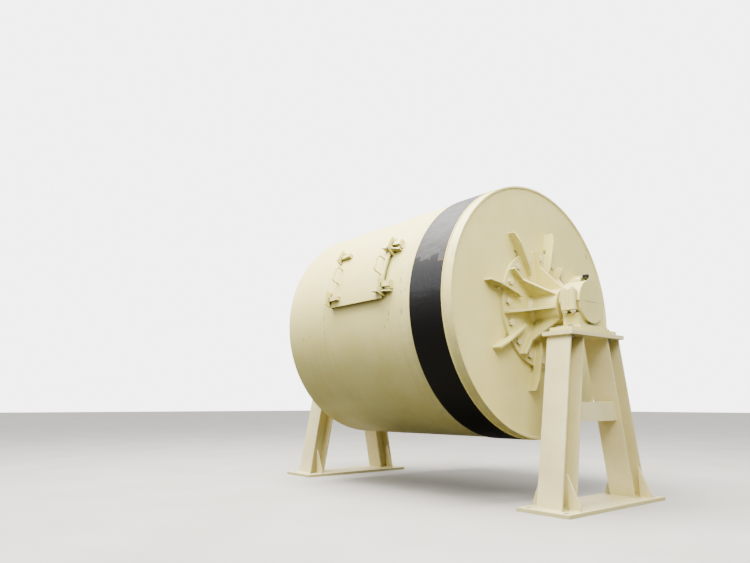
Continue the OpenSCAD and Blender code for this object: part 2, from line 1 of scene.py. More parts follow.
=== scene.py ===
# %% [markdown]
# A batch ball mill: a cream drum with ribbed ends, a dark belt track round it and a clamped
# manhole in its side, turning in two split bearings on welded stands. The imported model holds
# every solid at its real size. This lesson gives those solids their finish, adds the weld beads,
# washers and threads that a plain solid leaves out, and lights the whole.
#
# The frame comes first, because every later piece takes its place from it.

import math

import bmesh
import bpy
import numpy as np
from mathutils import Matrix, Vector


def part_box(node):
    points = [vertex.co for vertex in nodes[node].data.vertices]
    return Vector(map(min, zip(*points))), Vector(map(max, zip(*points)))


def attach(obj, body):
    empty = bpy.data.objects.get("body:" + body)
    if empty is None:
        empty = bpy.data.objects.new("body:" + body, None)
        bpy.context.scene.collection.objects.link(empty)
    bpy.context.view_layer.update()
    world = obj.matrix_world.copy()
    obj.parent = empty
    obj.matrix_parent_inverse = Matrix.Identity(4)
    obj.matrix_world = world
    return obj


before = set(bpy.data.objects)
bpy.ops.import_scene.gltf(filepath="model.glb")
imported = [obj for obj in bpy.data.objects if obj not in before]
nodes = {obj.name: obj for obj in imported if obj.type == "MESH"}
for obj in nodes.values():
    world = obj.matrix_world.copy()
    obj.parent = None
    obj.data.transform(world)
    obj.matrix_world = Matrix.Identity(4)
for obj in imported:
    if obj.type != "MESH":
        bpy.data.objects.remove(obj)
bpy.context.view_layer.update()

# %% [markdown]
# The camera stands low on the drive end's side, below the drum's axis, and looks up a little.
# A pinhole camera was fitted to the drum's round rim, so its place is worked out in drum radii
# from the middle of the near rim. A 29.5 mm lens on a 36 mm sensor gives that view.

# %% Camera
AXIS_HEIGHT = 1.5
DRUM_RADIUS = 1.05
RIM_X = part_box("shell")[1].x
CAMERA_FROM_RIM = Vector((2.8786, -4.0678, -0.7378)) * DRUM_RADIUS
CAMERA_RIGHT = Vector((0.637986, 0.770047, 0.000789))
CAMERA_FORWARD = Vector((-0.755188, 0.625474, 0.196145))
LENS_MM = 29.497
SENSOR_MM = 36.0
CLIP_END_M = 200


def make_camera():
    data = bpy.data.cameras.new("camera")
    data.lens = LENS_MM
    data.sensor_width = SENSOR_MM
    data.clip_end = CLIP_END_M
    camera = bpy.data.objects.new("camera", data)
    bpy.context.scene.collection.objects.link(camera)
    back = -CAMERA_FORWARD.normalized()
    up = back.cross(CAMERA_RIGHT).normalized()
    right = up.cross(back)
    turn = Matrix((right, up, back)).transposed().to_4x4()
    camera.matrix_world = Matrix.Translation(Vector((RIM_X, 0, AXIS_HEIGHT)) + CAMERA_FROM_RIM) @ turn
    bpy.context.scene.camera = camera
    return camera


camera = make_camera()
print("camera at", tuple(round(c, 3) for c in camera.matrix_world.translation))

# %% [markdown]
# Materials are node trees. One function adds a node: it takes the node's kind, its settings and
# what feeds its sockets, so that a material reads from top to bottom as a list of such calls.
# Colours are written as the sRGB hex values that a paint chart gives, and turned to linear once.
# A Mix node's two colour sockets share their names with others, so they are known by number.

# %% Colour and node helpers
UNDER, OVER = 6, 7


def linear(hex_colour):
    """An sRGB hex colour as the linear red, green, blue and alpha that shaders use."""
    channels = [int(hex_colour[i : i + 2], 16) / 255 for i in (1, 3, 5)]
    return tuple(c / 12.92 if c <= 0.04045 else ((c + 0.055) / 1.055) ** 2.4 for c in channels) + (1.0,)


def add(tree, kind, feeds=None, stops=None, **settings):
    """Adds one node. feeds maps a socket's name or number to a value, to the socket that feeds it,
    or to a node, whose first output in use then feeds it."""
    made = tree.nodes.new("ShaderNode" + kind)
    for name, value in settings.items():
        setattr(made, name, value)
    if stops:
        ramp = made.color_ramp
        while len(ramp.elements) < len(stops):
            ramp.elements.new(0.5)
        for element, (place, colour) in zip(ramp.elements, stops):
            element.position = place
            element.color = colour if isinstance(colour, tuple) else (colour, colour, colour, 1)
    for socket, value in (feeds or {}).items():
        if isinstance(value, bpy.types.Node):
            value = next(output for output in value.outputs if output.enabled)
        if isinstance(value, bpy.types.NodeSocket):
            tree.links.new(value, made.inputs[socket])
        else:
            made.inputs[socket].default_value = value
    return made


def new_material(name, feeds=None):
    """An empty material with its tree and the shader that ends it."""
    material = bpy.data.materials.new(name)
    material.use_nodes = True
    tree = material.node_tree
    tree.nodes.clear()
    shader = add(tree, "BsdfPrincipled", feeds)
    add(tree, "OutputMaterial", {"Surface": shader.outputs["BSDF"]})
    return material, tree, shader


print("cream in linear light:", [round(c, 3) for c in linear("#E6DCB4")])

# %% [markdown]
# The drum is rolled steel plate, sprayed with cream enamel. Fresh enamel is smooth but not flat:
# it has a fine orange peel a few millimetres across, the plate under it has long shallow waves
# from the rolls, and dust and handling leave faint stains. In corners the colour turns olive
# brown, partly dust and partly painted shade. Each of these is a step of its own below.
#
# The coat's colour comes first. Noise stains it in patches. Every edge gets a painted highlight:
# there a Bevel node's normal departs from the true one, and the colour is lightened. Round ribs
# and lugs an Ambient Occlusion node a hand's width wide darkens the colour as painted shade.

# %% Colour of the coat
ENAMEL_IOR = 1.5
ENAMEL_ROUGHNESS = 0.36
CLEAN_CREAM = "#E7DC90"
STAINED_CREAM = "#E0D27E"
# colours of corners and of the deepest gaps: dirt mixed with painted shade
CORNER_DIRT_AND_SHADE, GAP_DIRT_AND_SHADE = "#4C4B20", "#16130B"
# olive cream of the painted shade near ribs and lugs, and pale cream of the painted highlight on edges
PAINTED_SHADE_CREAM, EDGE_HIGHLIGHT_CREAM = "#BDB356", "#FFFAE2"
ROLL_WAVE_M, STAIN_M, SPECK_M = 0.45, 0.30, 0.045
NEAR_RIBS_M, IN_CORNERS_M = 0.15, 0.04
PEEL_M = 0.006
PAINTED_EDGE_M, EDGE_HIGHLIGHT_M = 0.0015, 0.005


def coat(tree, stain, clean, stained, edge_highlight, painted_shade):
    """The paint's colour before dirt, with a painted highlight on edges and painted shade near ribs and lugs.
    """
    colour = add(tree, "ValToRGB", {0: stain}, stops=[(0.36, linear(clean)), (0.70, linear(stained))])
    # painted highlight: at every edge, where the Bevel normal departs from the true one, the colour is
    # lightened
    bevelled = add(tree, "Bevel", {"Radius": EDGE_HIGHLIGHT_M}, samples=4)
    true_normal = add(tree, "NewGeometry").outputs["Normal"]
    edge_light = add(tree, "VectorMath", {0: bevelled, 1: true_normal}, operation="DOT_PRODUCT")
    edge_light = add(tree, "MapRange", {"Value": edge_light, "From Min": 0.985, "From Max": 0.85, "To Max": edge_highlight})
    colour = add(tree, "Mix", {0: edge_light, UNDER: colour, OVER: linear(EDGE_HIGHLIGHT_CREAM)}, data_type="RGBA")
    # painted shade: near ribs and lugs, where little sky is seen within a hand's width, the colour is
    # darkened
    sky = add(tree, "AmbientOcclusion", {"Distance": NEAR_RIBS_M}, samples=8).outputs["AO"]
    shade = add(tree, "MapRange", {"Value": sky, "From Min": 0.35, "From Max": 0.92,
                                   "To Min": painted_shade, "To Max": 0.0})
    return add(tree, "Mix", {0: shade, UNDER: colour, OVER: linear(PAINTED_SHADE_CREAM)}, data_type="RGBA")


print("coat colours:", CLEAN_CREAM, STAINED_CREAM, PAINTED_SHADE_CREAM, EDGE_HIGHLIGHT_CREAM)

# %% [markdown]
# Dirt and painted shade come next. Corners darken where a sixth of the sky is seen or less, and
# stay clean where half of it is: partly dirt, partly painted shade. The deepest gaps are painted
# nearly black as shade. Faces that turn down, in the piece's own directions, get a brown painted shade.

# %% Dirt and painted shade
def soil(tree, place, colour, dirt_and_shade, underside_shade, black_shade_at):
    """The coat with its dirt and painted shade. The last argument is the share of sky below which a gap is
    painted black, as shade.
    """
    # corners: dirt and painted shade where little sky is seen, broken up by specks
    sky = add(tree, "AmbientOcclusion", {"Distance": IN_CORNERS_M}, samples=8).outputs["AO"]
    cavity = add(tree, "MapRange", {"Value": sky, "From Min": black_shade_at + 0.03, "From Max": black_shade_at + 0.41,
                                    "To Min": 1.0, "To Max": 0.0})
    speck = add(tree, "TexNoise", {"Vector": place, "Scale": 1 / SPECK_M, "Detail": 6.0, "Roughness": 0.7})
    amount = add(tree, "Math", {0: cavity, 1: speck}, operation="MULTIPLY")
    amount = add(tree, "Math", {0: amount, 1: dirt_and_shade * 2}, operation="MULTIPLY", use_clamp=True)
    # painted shade: faces that turn down, in the piece's own directions, are browned, broken up by specks
    turned = add(tree, "SeparateXYZ", {0: add(tree, "TexCoord").outputs["Normal"]})
    down = add(tree, "MapRange", {"Value": turned.outputs["Z"], "From Min": -0.25, "From Max": -0.95,
                                  "To Max": underside_shade * 2})
    film = add(tree, "Math", {0: down, 1: speck}, operation="MULTIPLY", use_clamp=True)
    amount = add(tree, "Math", {0: amount, 1: film}, operation="MAXIMUM")
    # the deepest gaps are painted nearly black as shade, shallower corners olive, dirt and painted shade
    grime_and_shade = add(tree, "ValToRGB", {0: sky},
                stops=[(black_shade_at, linear(GAP_DIRT_AND_SHADE)), (black_shade_at + 0.25, linear(CORNER_DIRT_AND_SHADE))])
    return add(tree, "Mix", {0: amount, UNDER: colour, OVER: grime_and_shade}, data_type="RGBA")


print("dirt colours:", CORNER_DIRT_AND_SHADE, GAP_DIRT_AND_SHADE)

# %% [markdown]
# Last comes the surface. A Bevel node bends the light round every cut edge by about a millimetre,
# which is what paint does to it. Two bumps add the plate's waves and the peel or grain. One
# function makes all the cream finishes from these three steps.

# %% Cream enamel
def cream_enamel(name, clean, stained, grit_m, grit_depth_m, wave_depth_m, dirt_and_shade, underside_shade=0.0, edge_highlight=0.0,
                 painted_shade=0.5, black_shade_at=0.15):
    material, tree, shader = new_material(name, {"IOR": ENAMEL_IOR})
    place = add(tree, "TexCoord").outputs["Object"]
    stain = add(tree, "TexNoise", {"Vector": place, "Scale": 1 / STAIN_M, "Detail": 8.0, "Roughness": 0.62})
    colour = coat(tree, stain, clean, stained, edge_highlight, painted_shade)
    colour = soil(tree, place, colour, dirt_and_shade, underside_shade, black_shade_at)
    tree.links.new(colour.outputs[2], shader.inputs["Base Color"])
    rough = add(tree, "MapRange", {"Value": stain, "To Min": ENAMEL_ROUGHNESS - 0.06,
                                   "To Max": ENAMEL_ROUGHNESS + 0.16})
    tree.links.new(rough.outputs["Result"], shader.inputs["Roughness"])
    round_edge = add(tree, "Bevel", {"Radius": PAINTED_EDGE_M}, samples=4)
    wave = add(tree, "TexNoise", {"Vector": place, "Scale": 1 / ROLL_WAVE_M, "Detail": 2.0})
    waved = add(tree, "Bump", {"Height": wave, "Normal": round_edge, "Distance": wave_depth_m})
    grit = add(tree, "TexNoise", {"Vector": place, "Scale": 1 / grit_m, "Detail": 4.0, "Roughness": 0.55})
    gritty = add(tree, "Bump", {"Height": grit, "Normal": waved, "Distance": grit_depth_m})
    tree.links.new(gritty.outputs["Normal"], shader.inputs["Normal"])
    return material


print("orange peel of cream enamel is drawn at", PEEL_M * 1000, "mm")

# %% [markdown]
# What the paint lies on decides how it looks. Rolled plate has an orange peel of 6 mm and waves
# about 2 mm deep over half a metre. A sand casting has grains of 3 mm that show through. Flame-cut
# ribs and lugs are flat plate with a rougher edge and more brush marks in the corners. So each
# ground is a recipe, and a finish takes it as it is or with a change.

# %% Cream finishes
PLATE = dict(clean=CLEAN_CREAM, stained=STAINED_CREAM, grit_m=PEEL_M, grit_depth_m=0.00006,
             wave_depth_m=0.002, dirt_and_shade=0.8, painted_shade=0.35)
CASTING = dict(clean="#E3D890", stained="#D8CB7E", grit_m=0.003, grit_depth_m=0.00035,
               wave_depth_m=0.004, dirt_and_shade=1.0, underside_shade=0.3, edge_highlight=0.35)
CUT_PLATE = dict(clean="#E3D886", stained="#D9CC74", grit_m=0.004, grit_depth_m=0.00012,
                 wave_depth_m=0.0015, dirt_and_shade=0.9, underside_shade=0.5, edge_highlight=0.8)
enamel_on_plate = cream_enamel("enamel_on_rolled_plate", **PLATE)
enamel_on_casting = cream_enamel("enamel_on_sand_casting", **CASTING)
# hubs: less dirt and painted shade in corners, and less painted shade on faces turned down and near the ribs,
# so the flange's edge stays light
enamel_on_hub = cream_enamel("enamel_on_hub_casting", **{**CASTING, "dirt_and_shade": 0.5, "underside_shade": 0.1, "painted_shade": 0.4})
enamel_on_cut_plate = cream_enamel("enamel_on_cut_plate", **CUT_PLATE)
# clamps and handles: more dirt and painted shade in corners, gaps painted black as shade, and more painted
# shade on faces turned down
DIRT_AND_GAP_SHADE = {"dirt_and_shade": 1.2, "underside_shade": 0.7, "black_shade_at": 0.30}
enamel_on_clamps = cream_enamel("enamel_on_clamps", **{**CUT_PLATE, **DIRT_AND_GAP_SHADE})
# bolts painted with the mill: a thick soft coat, with heavy dirt and painted shade round them and painted
# shade under them
enamel_on_bolts = cream_enamel("enamel_on_bolts", clean="#EADFA6", stained="#DFD18E", grit_m=0.004,
                               grit_depth_m=0.00010, wave_depth_m=0.001, dirt_and_shade=1.4, underside_shade=0.9, edge_highlight=0.5)
# stands: rolled sections with a second, slightly greyer cream and a little more dirt and painted shade in
# corners
enamel_on_sections = cream_enamel("enamel_on_rolled_sections", clean="#E4D8A4", stained="#D4C68E",
                                  grit_m=PEEL_M, grit_depth_m=0.00008, wave_depth_m=0.002, dirt_and_shade=1.0)
print("cream finishes:", [m.name for m in bpy.data.materials])

# %% [markdown]
# Marks tell where the drum has been: scuffs, chalk, rain streaks and runs of thinner. They are
# only a colour on the paint, so they are masks in the material. A scuff is the distance to a short
# line, worked out on the plate laid flat, and noise breaks it up. A picture could hold such marks
# too, but a list of a few lines is easier to read and to move.

# %% Marks as masks
CRUMB_M = 0.012


def scuffed(tree, flat, lines):
    """A mask of short lines on a plate laid flat, each broken up by noise."""
    crumb = add(tree, "TexNoise", {"Vector": flat, "Scale": 1 / CRUMB_M, "Detail": 4.0})
    total = None
    for start, end, half in lines:
        start, end = Vector((*start, 0)), Vector((*end, 0))
        reach = end - start
        away = add(tree, "VectorMath", {0: flat, 1: start}, operation="SUBTRACT")
        share = add(tree, "VectorMath", {0: away, 1: reach / reach.length_squared}, operation="DOT_PRODUCT")
        share = add(tree, "Math", {0: share, 1: 1.0}, operation="MULTIPLY", use_clamp=True)
        near = add(tree, "VectorMath", {0: reach, "Scale": share}, operation="SCALE")
        gap = add(tree, "VectorMath", {0: away, 1: near}, operation="DISTANCE")
        hit = add(tree, "MapRange", {"Value": gap, "From Min": half, "From Max": half * 0.4})
        total = add(tree, "Math", {0: total, 1: hit}, operation="MAXIMUM") if total else hit
    crumbly = add(tree, "MapRange", {"Value": crumb, "From Min": 0.35, "From Max": 0.55})
    return add(tree, "Math", {0: total, 1: crumbly}, operation="MULTIPLY")


def lay_over(material, mask, hex_colour):
    """Lays a colour over a finish where the mask is 1."""
    tree = material.node_tree
    base = next(n for n in tree.nodes if n.type == "BSDF_PRINCIPLED").inputs["Base Color"]
    mix = add(tree, "Mix", {0: mask, UNDER: base.links[0].from_socket, OVER: linear(hex_colour)},
              data_type="RGBA")
    tree.links.new(mix.outputs[2], base)


def on_drum(tree):
    """The place on a piece of the drum, its X, Y and Z, and the angle above level in radians."""
    place = add(tree, "TexCoord").outputs["Object"]
    axes = add(tree, "SeparateXYZ", {0: place})
    height = add(tree, "Math", {0: axes.outputs["Z"], 1: AXIS_HEIGHT}, operation="SUBTRACT")
    front = add(tree, "Math", {0: axes.outputs["Y"], 1: -1.0}, operation="MULTIPLY")
    return place, axes, add(tree, "Math", {0: height, 1: front}, operation="ARCTAN2")


print("marks are laid over", enamel_on_plate.name)

# %% [markdown]
# On the shell, rain left fine streaks that run round the drum, and belt dust a grey haze between
# the manhole and the belt track. Both are noise: the streaks are drawn out round the drum by
# squeezing the pattern along it.

# %% Streaks and haze on the shell
HAZE_M, HAZE_FROM_X, HAZE_FULL_X = 0.06, 0.46, 0.58
enamel_on_shell = cream_enamel("enamel_on_rolled_shell", **PLATE)
tree = enamel_on_shell.node_tree
place, axes, round_drum = on_drum(tree)
squeezed = add(tree, "Mapping", {"Vector": place, "Scale": (30, 1, 1)})
streak = add(tree, "TexNoise", {"Vector": squeezed, "Scale": 1.6, "Detail": 5.0, "Roughness": 0.6})
faint = add(tree, "MapRange", {"Value": streak, "From Min": 0.50, "From Max": 0.72, "To Max": 0.22})
lay_over(enamel_on_shell, faint, "#B9AE88")
haze = add(tree, "TexNoise", {"Vector": place, "Scale": 1 / HAZE_M, "Detail": 7.0, "Roughness": 0.7})
near_track = add(tree, "MapRange", {"Value": axes.outputs["X"], "From Min": HAZE_FROM_X,
                                    "From Max": HAZE_FULL_X})
haze = add(tree, "MapRange", {"Value": haze, "From Min": 0.42, "From Max": 0.70, "To Max": 0.4})
haze = add(tree, "Math", {0: haze, 1: near_track}, operation="MULTIPLY")
lay_over(enamel_on_shell, haze, "#A8A089")
print("streaks and haze are on", enamel_on_shell.name)

# %% [markdown]
# Slings and road grit left a few dark scuffs on the shell. Whoever set out the manhole chalked
# dots a finger wide along the seam. They are plain beside the manhole and nearly washed off
# elsewhere. Both are placed on the shell laid flat, in millimetres.

# %% Scuffs and chalk on the shell
SEAM_X = -0.5
CHALK_HALF_M, CHALK_GRAIN_M = 0.010, 0.022
# degrees: the chalk's middle above level, how far from it the dots are plain, and washed off
CHALK_AT, CHALK_PLAIN, CHALK_WASHED = 8, 18, 26
# (millimetres along the drum, degrees above level) from and to, and half the width in millimetres
SHELL_SCUFFS = [((399, -1.8), (407, -3.6), 7), ((396, -5.2), (392, -5.9), 6),
                ((352, -7.6), (329, -9.5), 4), ((531, 12.2), (531, 10.2), 7),
                ((547, 6.2), (548, 5.2), 6), ((598, 6.6), (598, 5.6), 5),
                ((557, -1.9), (557, -3.9), 8), ((-854, -8.6), (-854, -9.2), 8),
                ((-744, -7.9), (-744, -8.3), 7), ((-1058, 24.6), (-1058, 23.6), 8),
                ((230, 44.0), (215, 39.5), 5), ((335, 43.0), (322, 39.0), 5)]
along_mm = add(tree, "Math", {0: axes.outputs["X"], 1: 1000.0}, operation="MULTIPLY")
arc_mm = add(tree, "Math", {0: round_drum, 1: 1000 * DRUM_RADIUS}, operation="MULTIPLY")
flat = add(tree, "CombineXYZ", {0: along_mm, 1: arc_mm})
arc = math.radians(1) * 1000 * DRUM_RADIUS
lines = [((x0, up0 * arc), (x1, up1 * arc), half) for (x0, up0), (x1, up1), half in SHELL_SCUFFS]
lay_over(enamel_on_shell, scuffed(tree, flat, lines), "#5E5A4A")
off_seam = add(tree, "Math", {0: axes.outputs["X"], 1: SEAM_X}, operation="SUBTRACT")
off_seam = add(tree, "Math", {0: off_seam}, operation="ABSOLUTE")
on_seam = add(tree, "MapRange", {"Value": off_seam, "From Min": CHALK_HALF_M,
                                 "From Max": CHALK_HALF_M * 0.4})
dots = add(tree, "TexNoise", {"Vector": place, "Scale": 1 / CHALK_GRAIN_M, "Detail": 2.0})
dots = add(tree, "MapRange", {"Value": dots, "From Min": 0.46, "From Max": 0.60, "To Max": 0.8})
dots = add(tree, "Math", {0: dots, 1: on_seam}, operation="MULTIPLY")
beside = add(tree, "Math", {0: arc_mm, 1: CHALK_AT * arc}, operation="SUBTRACT")
beside = add(tree, "Math", {0: beside}, operation="ABSOLUTE")
kept = add(tree, "MapRange", {"Value": beside, "From Min": CHALK_WASHED * arc,
                              "From Max": CHALK_PLAIN * arc, "To Min": 0.2})
dots = add(tree, "Math", {0: dots, 1: kept}, operation="MULTIPLY")
lay_over(enamel_on_shell, dots, "#8F9492")
print("scuffs on the shell:", len(SHELL_SCUFFS))

# %% [markdown]
# Two runs of thinner dried on the head near its rim. The head is flat already, so its Y and Z are
# the places on it.

# %% Runs on the drive head
# (millimetres away from the camera, millimetres high) from and to, and half the width
HEAD_RUNS = [((800, 2180), (796, 2130), 6), ((768, 2100), (776, 2072), 5), ((776, 2072), (796, 2050), 5),
             ((796, 2050), (800, 2080), 4)]
enamel_on_drive_head = cream_enamel("enamel_on_drive_head", **{**PLATE, "painted_shade": 0.4})
tree = enamel_on_drive_head.node_tree
axes = add(tree, "SeparateXYZ", {0: add(tree, "TexCoord").outputs["Object"]})
back_mm, up_mm = (add(tree, "Math", {0: axes.outputs[way], 1: 1000.0}, operation="MULTIPLY")
                  for way in ("Y", "Z"))
flat = add(tree, "CombineXYZ", {0: back_mm, 1: up_mm})
lay_over(enamel_on_drive_head, scuffed(tree, flat, HEAD_RUNS), "#4A4530")
print("runs on the head:", len(HEAD_RUNS))

# %% [markdown]
# The belt track is a smooth ring that the drive belts run on. Its black oil paint was sprayed
# after grey primer, and paper strips that masked the top left four straight ragged ends. The
# paint's end is drawn as a curve: a colour ramp holds the angle round the drum at which the
# black stops, for each place across the track. Small tears make the end wander by half a degree,
# about 9 mm.

# %% Where the black ends
TRACK_LEFT, TRACK_RIGHT = (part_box("drive_band")[i].x for i in (0, 1))
# (millimetres across the track, degrees above level) where the masking strips ended
MASK_ENDS = [(0, 19.5), (76, 20.8), (80, 18.1), (172, 18.4), (190, 17.0), (196, 19.2),
             (280, 20.4), (286, 16.0), (361, 16.2)]
BLACK_AGAIN = 160
TRACK_W = TRACK_RIGHT - TRACK_LEFT
LAP_M, DAB_M = 0.007, 0.016


def black_end(tree, place, axes, angle):
    """The angle in degrees, the place across the track, the angle past the black's end, the tears
    and a mask of what the black leaves bare."""
    degrees = add(tree, "Math", {0: angle}, operation="DEGREES")
    torn = add(tree, "TexNoise", {"Vector": place, "Scale": 1 / 0.03, "Detail": 5.0, "Roughness": 0.6})
    wander = add(tree, "MapRange", {"Value": torn, "To Min": -0.9, "To Max": 0.9})
    ragged = add(tree, "Math", {0: degrees, 1: wander}, operation="ADD")
    across = add(tree, "MapRange", {"Value": axes.outputs["X"], "From Min": TRACK_LEFT,
                                    "From Max": TRACK_RIGHT})
    end = add(tree, "ValToRGB", {0: across},
              stops=[(mm / MASK_ENDS[-1][0], degree / 90) for mm, degree in MASK_ENDS])
    end_degrees = add(tree, "Math", {0: end, 1: 90.0}, operation="MULTIPLY")
    past = add(tree, "Math", {0: ragged, 1: end_degrees}, operation="SUBTRACT")
    above = add(tree, "MapRange", {"Value": past, "From Min": -0.1, "From Max": 0.1})
    below = add(tree, "MapRange", {"Value": ragged, "From Min": BLACK_AGAIN - 0.1,
                                   "From Max": BLACK_AGAIN + 0.1, "To Min": 1.0, "To Max": 0.0})
    bare = add(tree, "Math", {0: above, 1: below}, operation="MULTIPLY")
    return degrees, across, past, torn, bare


print("track", round(TRACK_W * 1000), "mm wide, black below", MASK_ENDS[0][1], "degrees")

# %% [markdown]
# Above the black the primer shows. It was brushed on across the track, so its noise is squeezed
# round the drum, and it is browner at the edges. Where the paper pulled the primer off, a hair of
# red sealer shows along the torn end. Below, the black carries a painted sheen of the sky, slate
# and strongest a few degrees above level, ending there in a ragged line, with painted shade below.

# %% Primer, and black with a painted sheen
def primer_coat(tree, stroke, across, past, torn):
    """The primer's colour, and how far a place is from the track's middle, 0.5 at its edges."""
    primer = add(tree, "ValToRGB", {0: stroke},
                 stops=[(0.30, linear("#2F2A26")), (0.48, linear("#3C3B3A")), (0.70, linear("#4B4C50"))])
    off_middle = add(tree, "Math", {0: across, 1: 0.5}, operation="SUBTRACT")
    to_edge = add(tree, "Math", {0: off_middle}, operation="ABSOLUTE")
    browner = add(tree, "MapRange", {"Value": to_edge, "From Min": 0.25, "From Max": 0.5, "To Max": 0.7})
    primer = add(tree, "Mix", {0: browner, UNDER: primer, OVER: linear("#3A322B")}, data_type="RGBA")
    tear = add(tree, "MapRange", {"Value": past, "From Min": 0.75, "From Max": 0.25})
    right = add(tree, "MapRange", {"Value": across, "From Min": 0.76, "From Max": 0.79})
    red = add(tree, "Math", {0: tear, 1: right}, operation="MULTIPLY")
    red = add(tree, "Math", {0: red, 1: torn}, operation="MULTIPLY")
    primer = add(tree, "Mix", {0: red, UNDER: primer, OVER: linear("#8A4630")}, data_type="RGBA")
    return primer, to_edge


def black_with_sheen(tree, place, stroke, degrees):
    # painted sheen and shade: slate just above level, weaker higher up, black below; fine noise breaks it up
    # like dust
    drift = add(tree, "MapRange", {"Value": stroke, "To Min": -7.0, "To Max": 7.0})
    level = add(tree, "Math", {0: degrees, 1: drift}, operation="ADD")
    level = add(tree, "MapRange", {"Value": level, "From Min": -10.0, "From Max": 25.0})
    sky_sheen = add(tree, "ValToRGB", {0: level},
                stops=[(0.0, 0.0), (0.27, 0.10), (0.36, 0.34), (0.43, 0.80), (0.60, 0.70), (1.0, 0.42)])
    fine = add(tree, "TexNoise", {"Vector": place, "Scale": 60.0, "Detail": 5.0, "Roughness": 0.7})
    dust = add(tree, "Math", {0: sky_sheen, 1: fine}, operation="MULTIPLY")
    black = add(tree, "Mix", {0: dust, UNDER: linear("#0B0908"), OVER: linear("#3E3E42")}, data_type="RGBA")
    return black


print("primer and black are ready")

# %% [markdown]
# The whole finish puts primer and black together. A black margin a finger wide runs along both
# edges, and then the shell's cream, dabbed over the track's edge. The paint ends in a step of a
# quarter millimetre, over brush marks.

# %% Belt track
def belt_track():
    material, tree, shader = new_material("black_oil_paint_on_primer", {"IOR": 1.30})
    place, axes, angle = on_drum(tree)
    degrees, across, past, torn, bare = black_end(tree, place, axes, angle)
    stretch = add(tree, "Mapping", {"Vector": place, "Scale": (1.0, 4.0, 4.0)})
    stroke = add(tree, "TexNoise", {"Vector": stretch, "Scale": 9.0, "Detail": 6.0,
                                    "Roughness": 0.68, "Distortion": 0.8})
    primer, to_edge = primer_coat(tree, stroke, across, past, torn)
    black = black_with_sheen(tree, place, stroke, degrees)
    colour = add(tree, "Mix", {0: bare, UNDER: black, OVER: primer}, data_type="RGBA")
    dab = add(tree, "Math", {0: angle, 1: 2 * math.pi * DRUM_RADIUS / DAB_M}, operation="MULTIPLY")
    dab = add(tree, "Math", {0: dab}, operation="SINE")
    dab = add(tree, "Math", {0: dab, 1: LAP_M * 0.3 / TRACK_W}, operation="MULTIPLY")
    edge = add(tree, "Math", {0: to_edge, 1: dab}, operation="ADD")
    margin = add(tree, "MapRange", {"Value": edge, "From Min": 0.5 - 2.6 * LAP_M / TRACK_W,
                                    "From Max": 0.5 - 1.8 * LAP_M / TRACK_W, "To Max": 0.8})
    colour = add(tree, "Mix", {0: margin, UNDER: colour, OVER: linear("#141110")}, data_type="RGBA")
    lapped = add(tree, "MapRange", {"Value": edge, "From Min": 0.5 - 1.05 * LAP_M / TRACK_W,
                                    "From Max": 0.5 - 0.95 * LAP_M / TRACK_W})
    colour = add(tree, "Mix", {0: lapped, UNDER: colour, OVER: linear(CLEAN_CREAM)}, data_type="RGBA")
    tree.links.new(colour.outputs[2], shader.inputs["Base Color"])
    rough = add(tree, "MapRange", {"Value": bare, "To Min": 0.42, "To Max": 0.55})
    tree.links.new(rough.outputs["Result"], shader.inputs["Roughness"])
    round_edge = add(tree, "Bevel", {"Radius": PAINTED_EDGE_M}, samples=4)
    brushed = add(tree, "Bump", {"Height": stroke, "Normal": round_edge, "Distance": 0.0006})
    stepped = add(tree, "Bump", {"Height": bare, "Normal": brushed, "Distance": 0.00025}, invert=True)
    tree.links.new(stepped.outputs["Normal"], shader.inputs["Normal"])
    return material


track_paint = belt_track()
print("made", track_paint.name)

# %% [markdown]
# The trunnion was turned on a lathe. The tool leaves a fine helix, so the light breaks into rings
# round the shaft. A Wave texture along the axis makes them: the real feed of 0.3 mm can't be seen
# here, so the rings are drawn 2 mm apart. A film of old grease dulls and browns the steel in
# patches. Steel is a metal, so its colour is the colour of its reflection.

# %% Turned steel
def turned_metal(name, bright, oiled, roughness, ring_m):
    material, tree, shader = new_material(name, {"Metallic": 1.0})
    place = add(tree, "TexCoord").outputs["Object"]
    rings = add(tree, "TexWave", {"Vector": place, "Scale": 0.314 / ring_m, "Distortion": 0.4, "Detail": 2.0},
                wave_type="BANDS", bands_direction="X")
    film = add(tree, "TexNoise", {"Vector": place, "Scale": 1 / 0.05, "Detail": 6.0, "Roughness": 0.6})
    colour = add(tree, "ValToRGB", {0: film}, stops=[(0.42, linear(bright)), (0.66, linear(oiled))])
    tree.links.new(colour.outputs["Color"], shader.inputs["Base Color"])
    rough = add(tree, "MapRange", {"Value": film, "To Min": roughness - 0.06, "To Max": roughness + 0.22})
    tree.links.new(rough.outputs["Result"], shader.inputs["Roughness"])
    round_edge = add(tree, "Bevel", {"Radius": 0.001}, samples=4)
    turned = add(tree, "Bump", {"Height": rings.outputs["Fac"], "Normal": round_edge, "Distance": 0.00006})
    tree.links.new(turned.outputs["Normal"], shader.inputs["Normal"])
    return material


# the shaft steel is dark and oily; where it shows in the gap between the hub's neck and the bearing, this
# dark also stands in as painted shade
turned_steel = turned_metal("turned_shaft_steel", "#77706A", "#3C3020", 0.42, 0.002)
# tin bronze of the bearing bush: the same lathe marks, a warm reflection, and dark oil
turned_bronze = turned_metal("turned_tin_bronze", "#C79A5B", "#6B4E2A", 0.32, 0.002)
print("metals:", turned_steel.name, turned_bronze.name)

# %% [markdown]
# Bolts that are fitted on site stay bright: they are zinc plated, a cold grey metal with a fine
# crystal bloom and a little white rust. The oil cups are pressed steel with black baked enamel,
# smooth enough to carry a soft highlight, with dust on the lid.

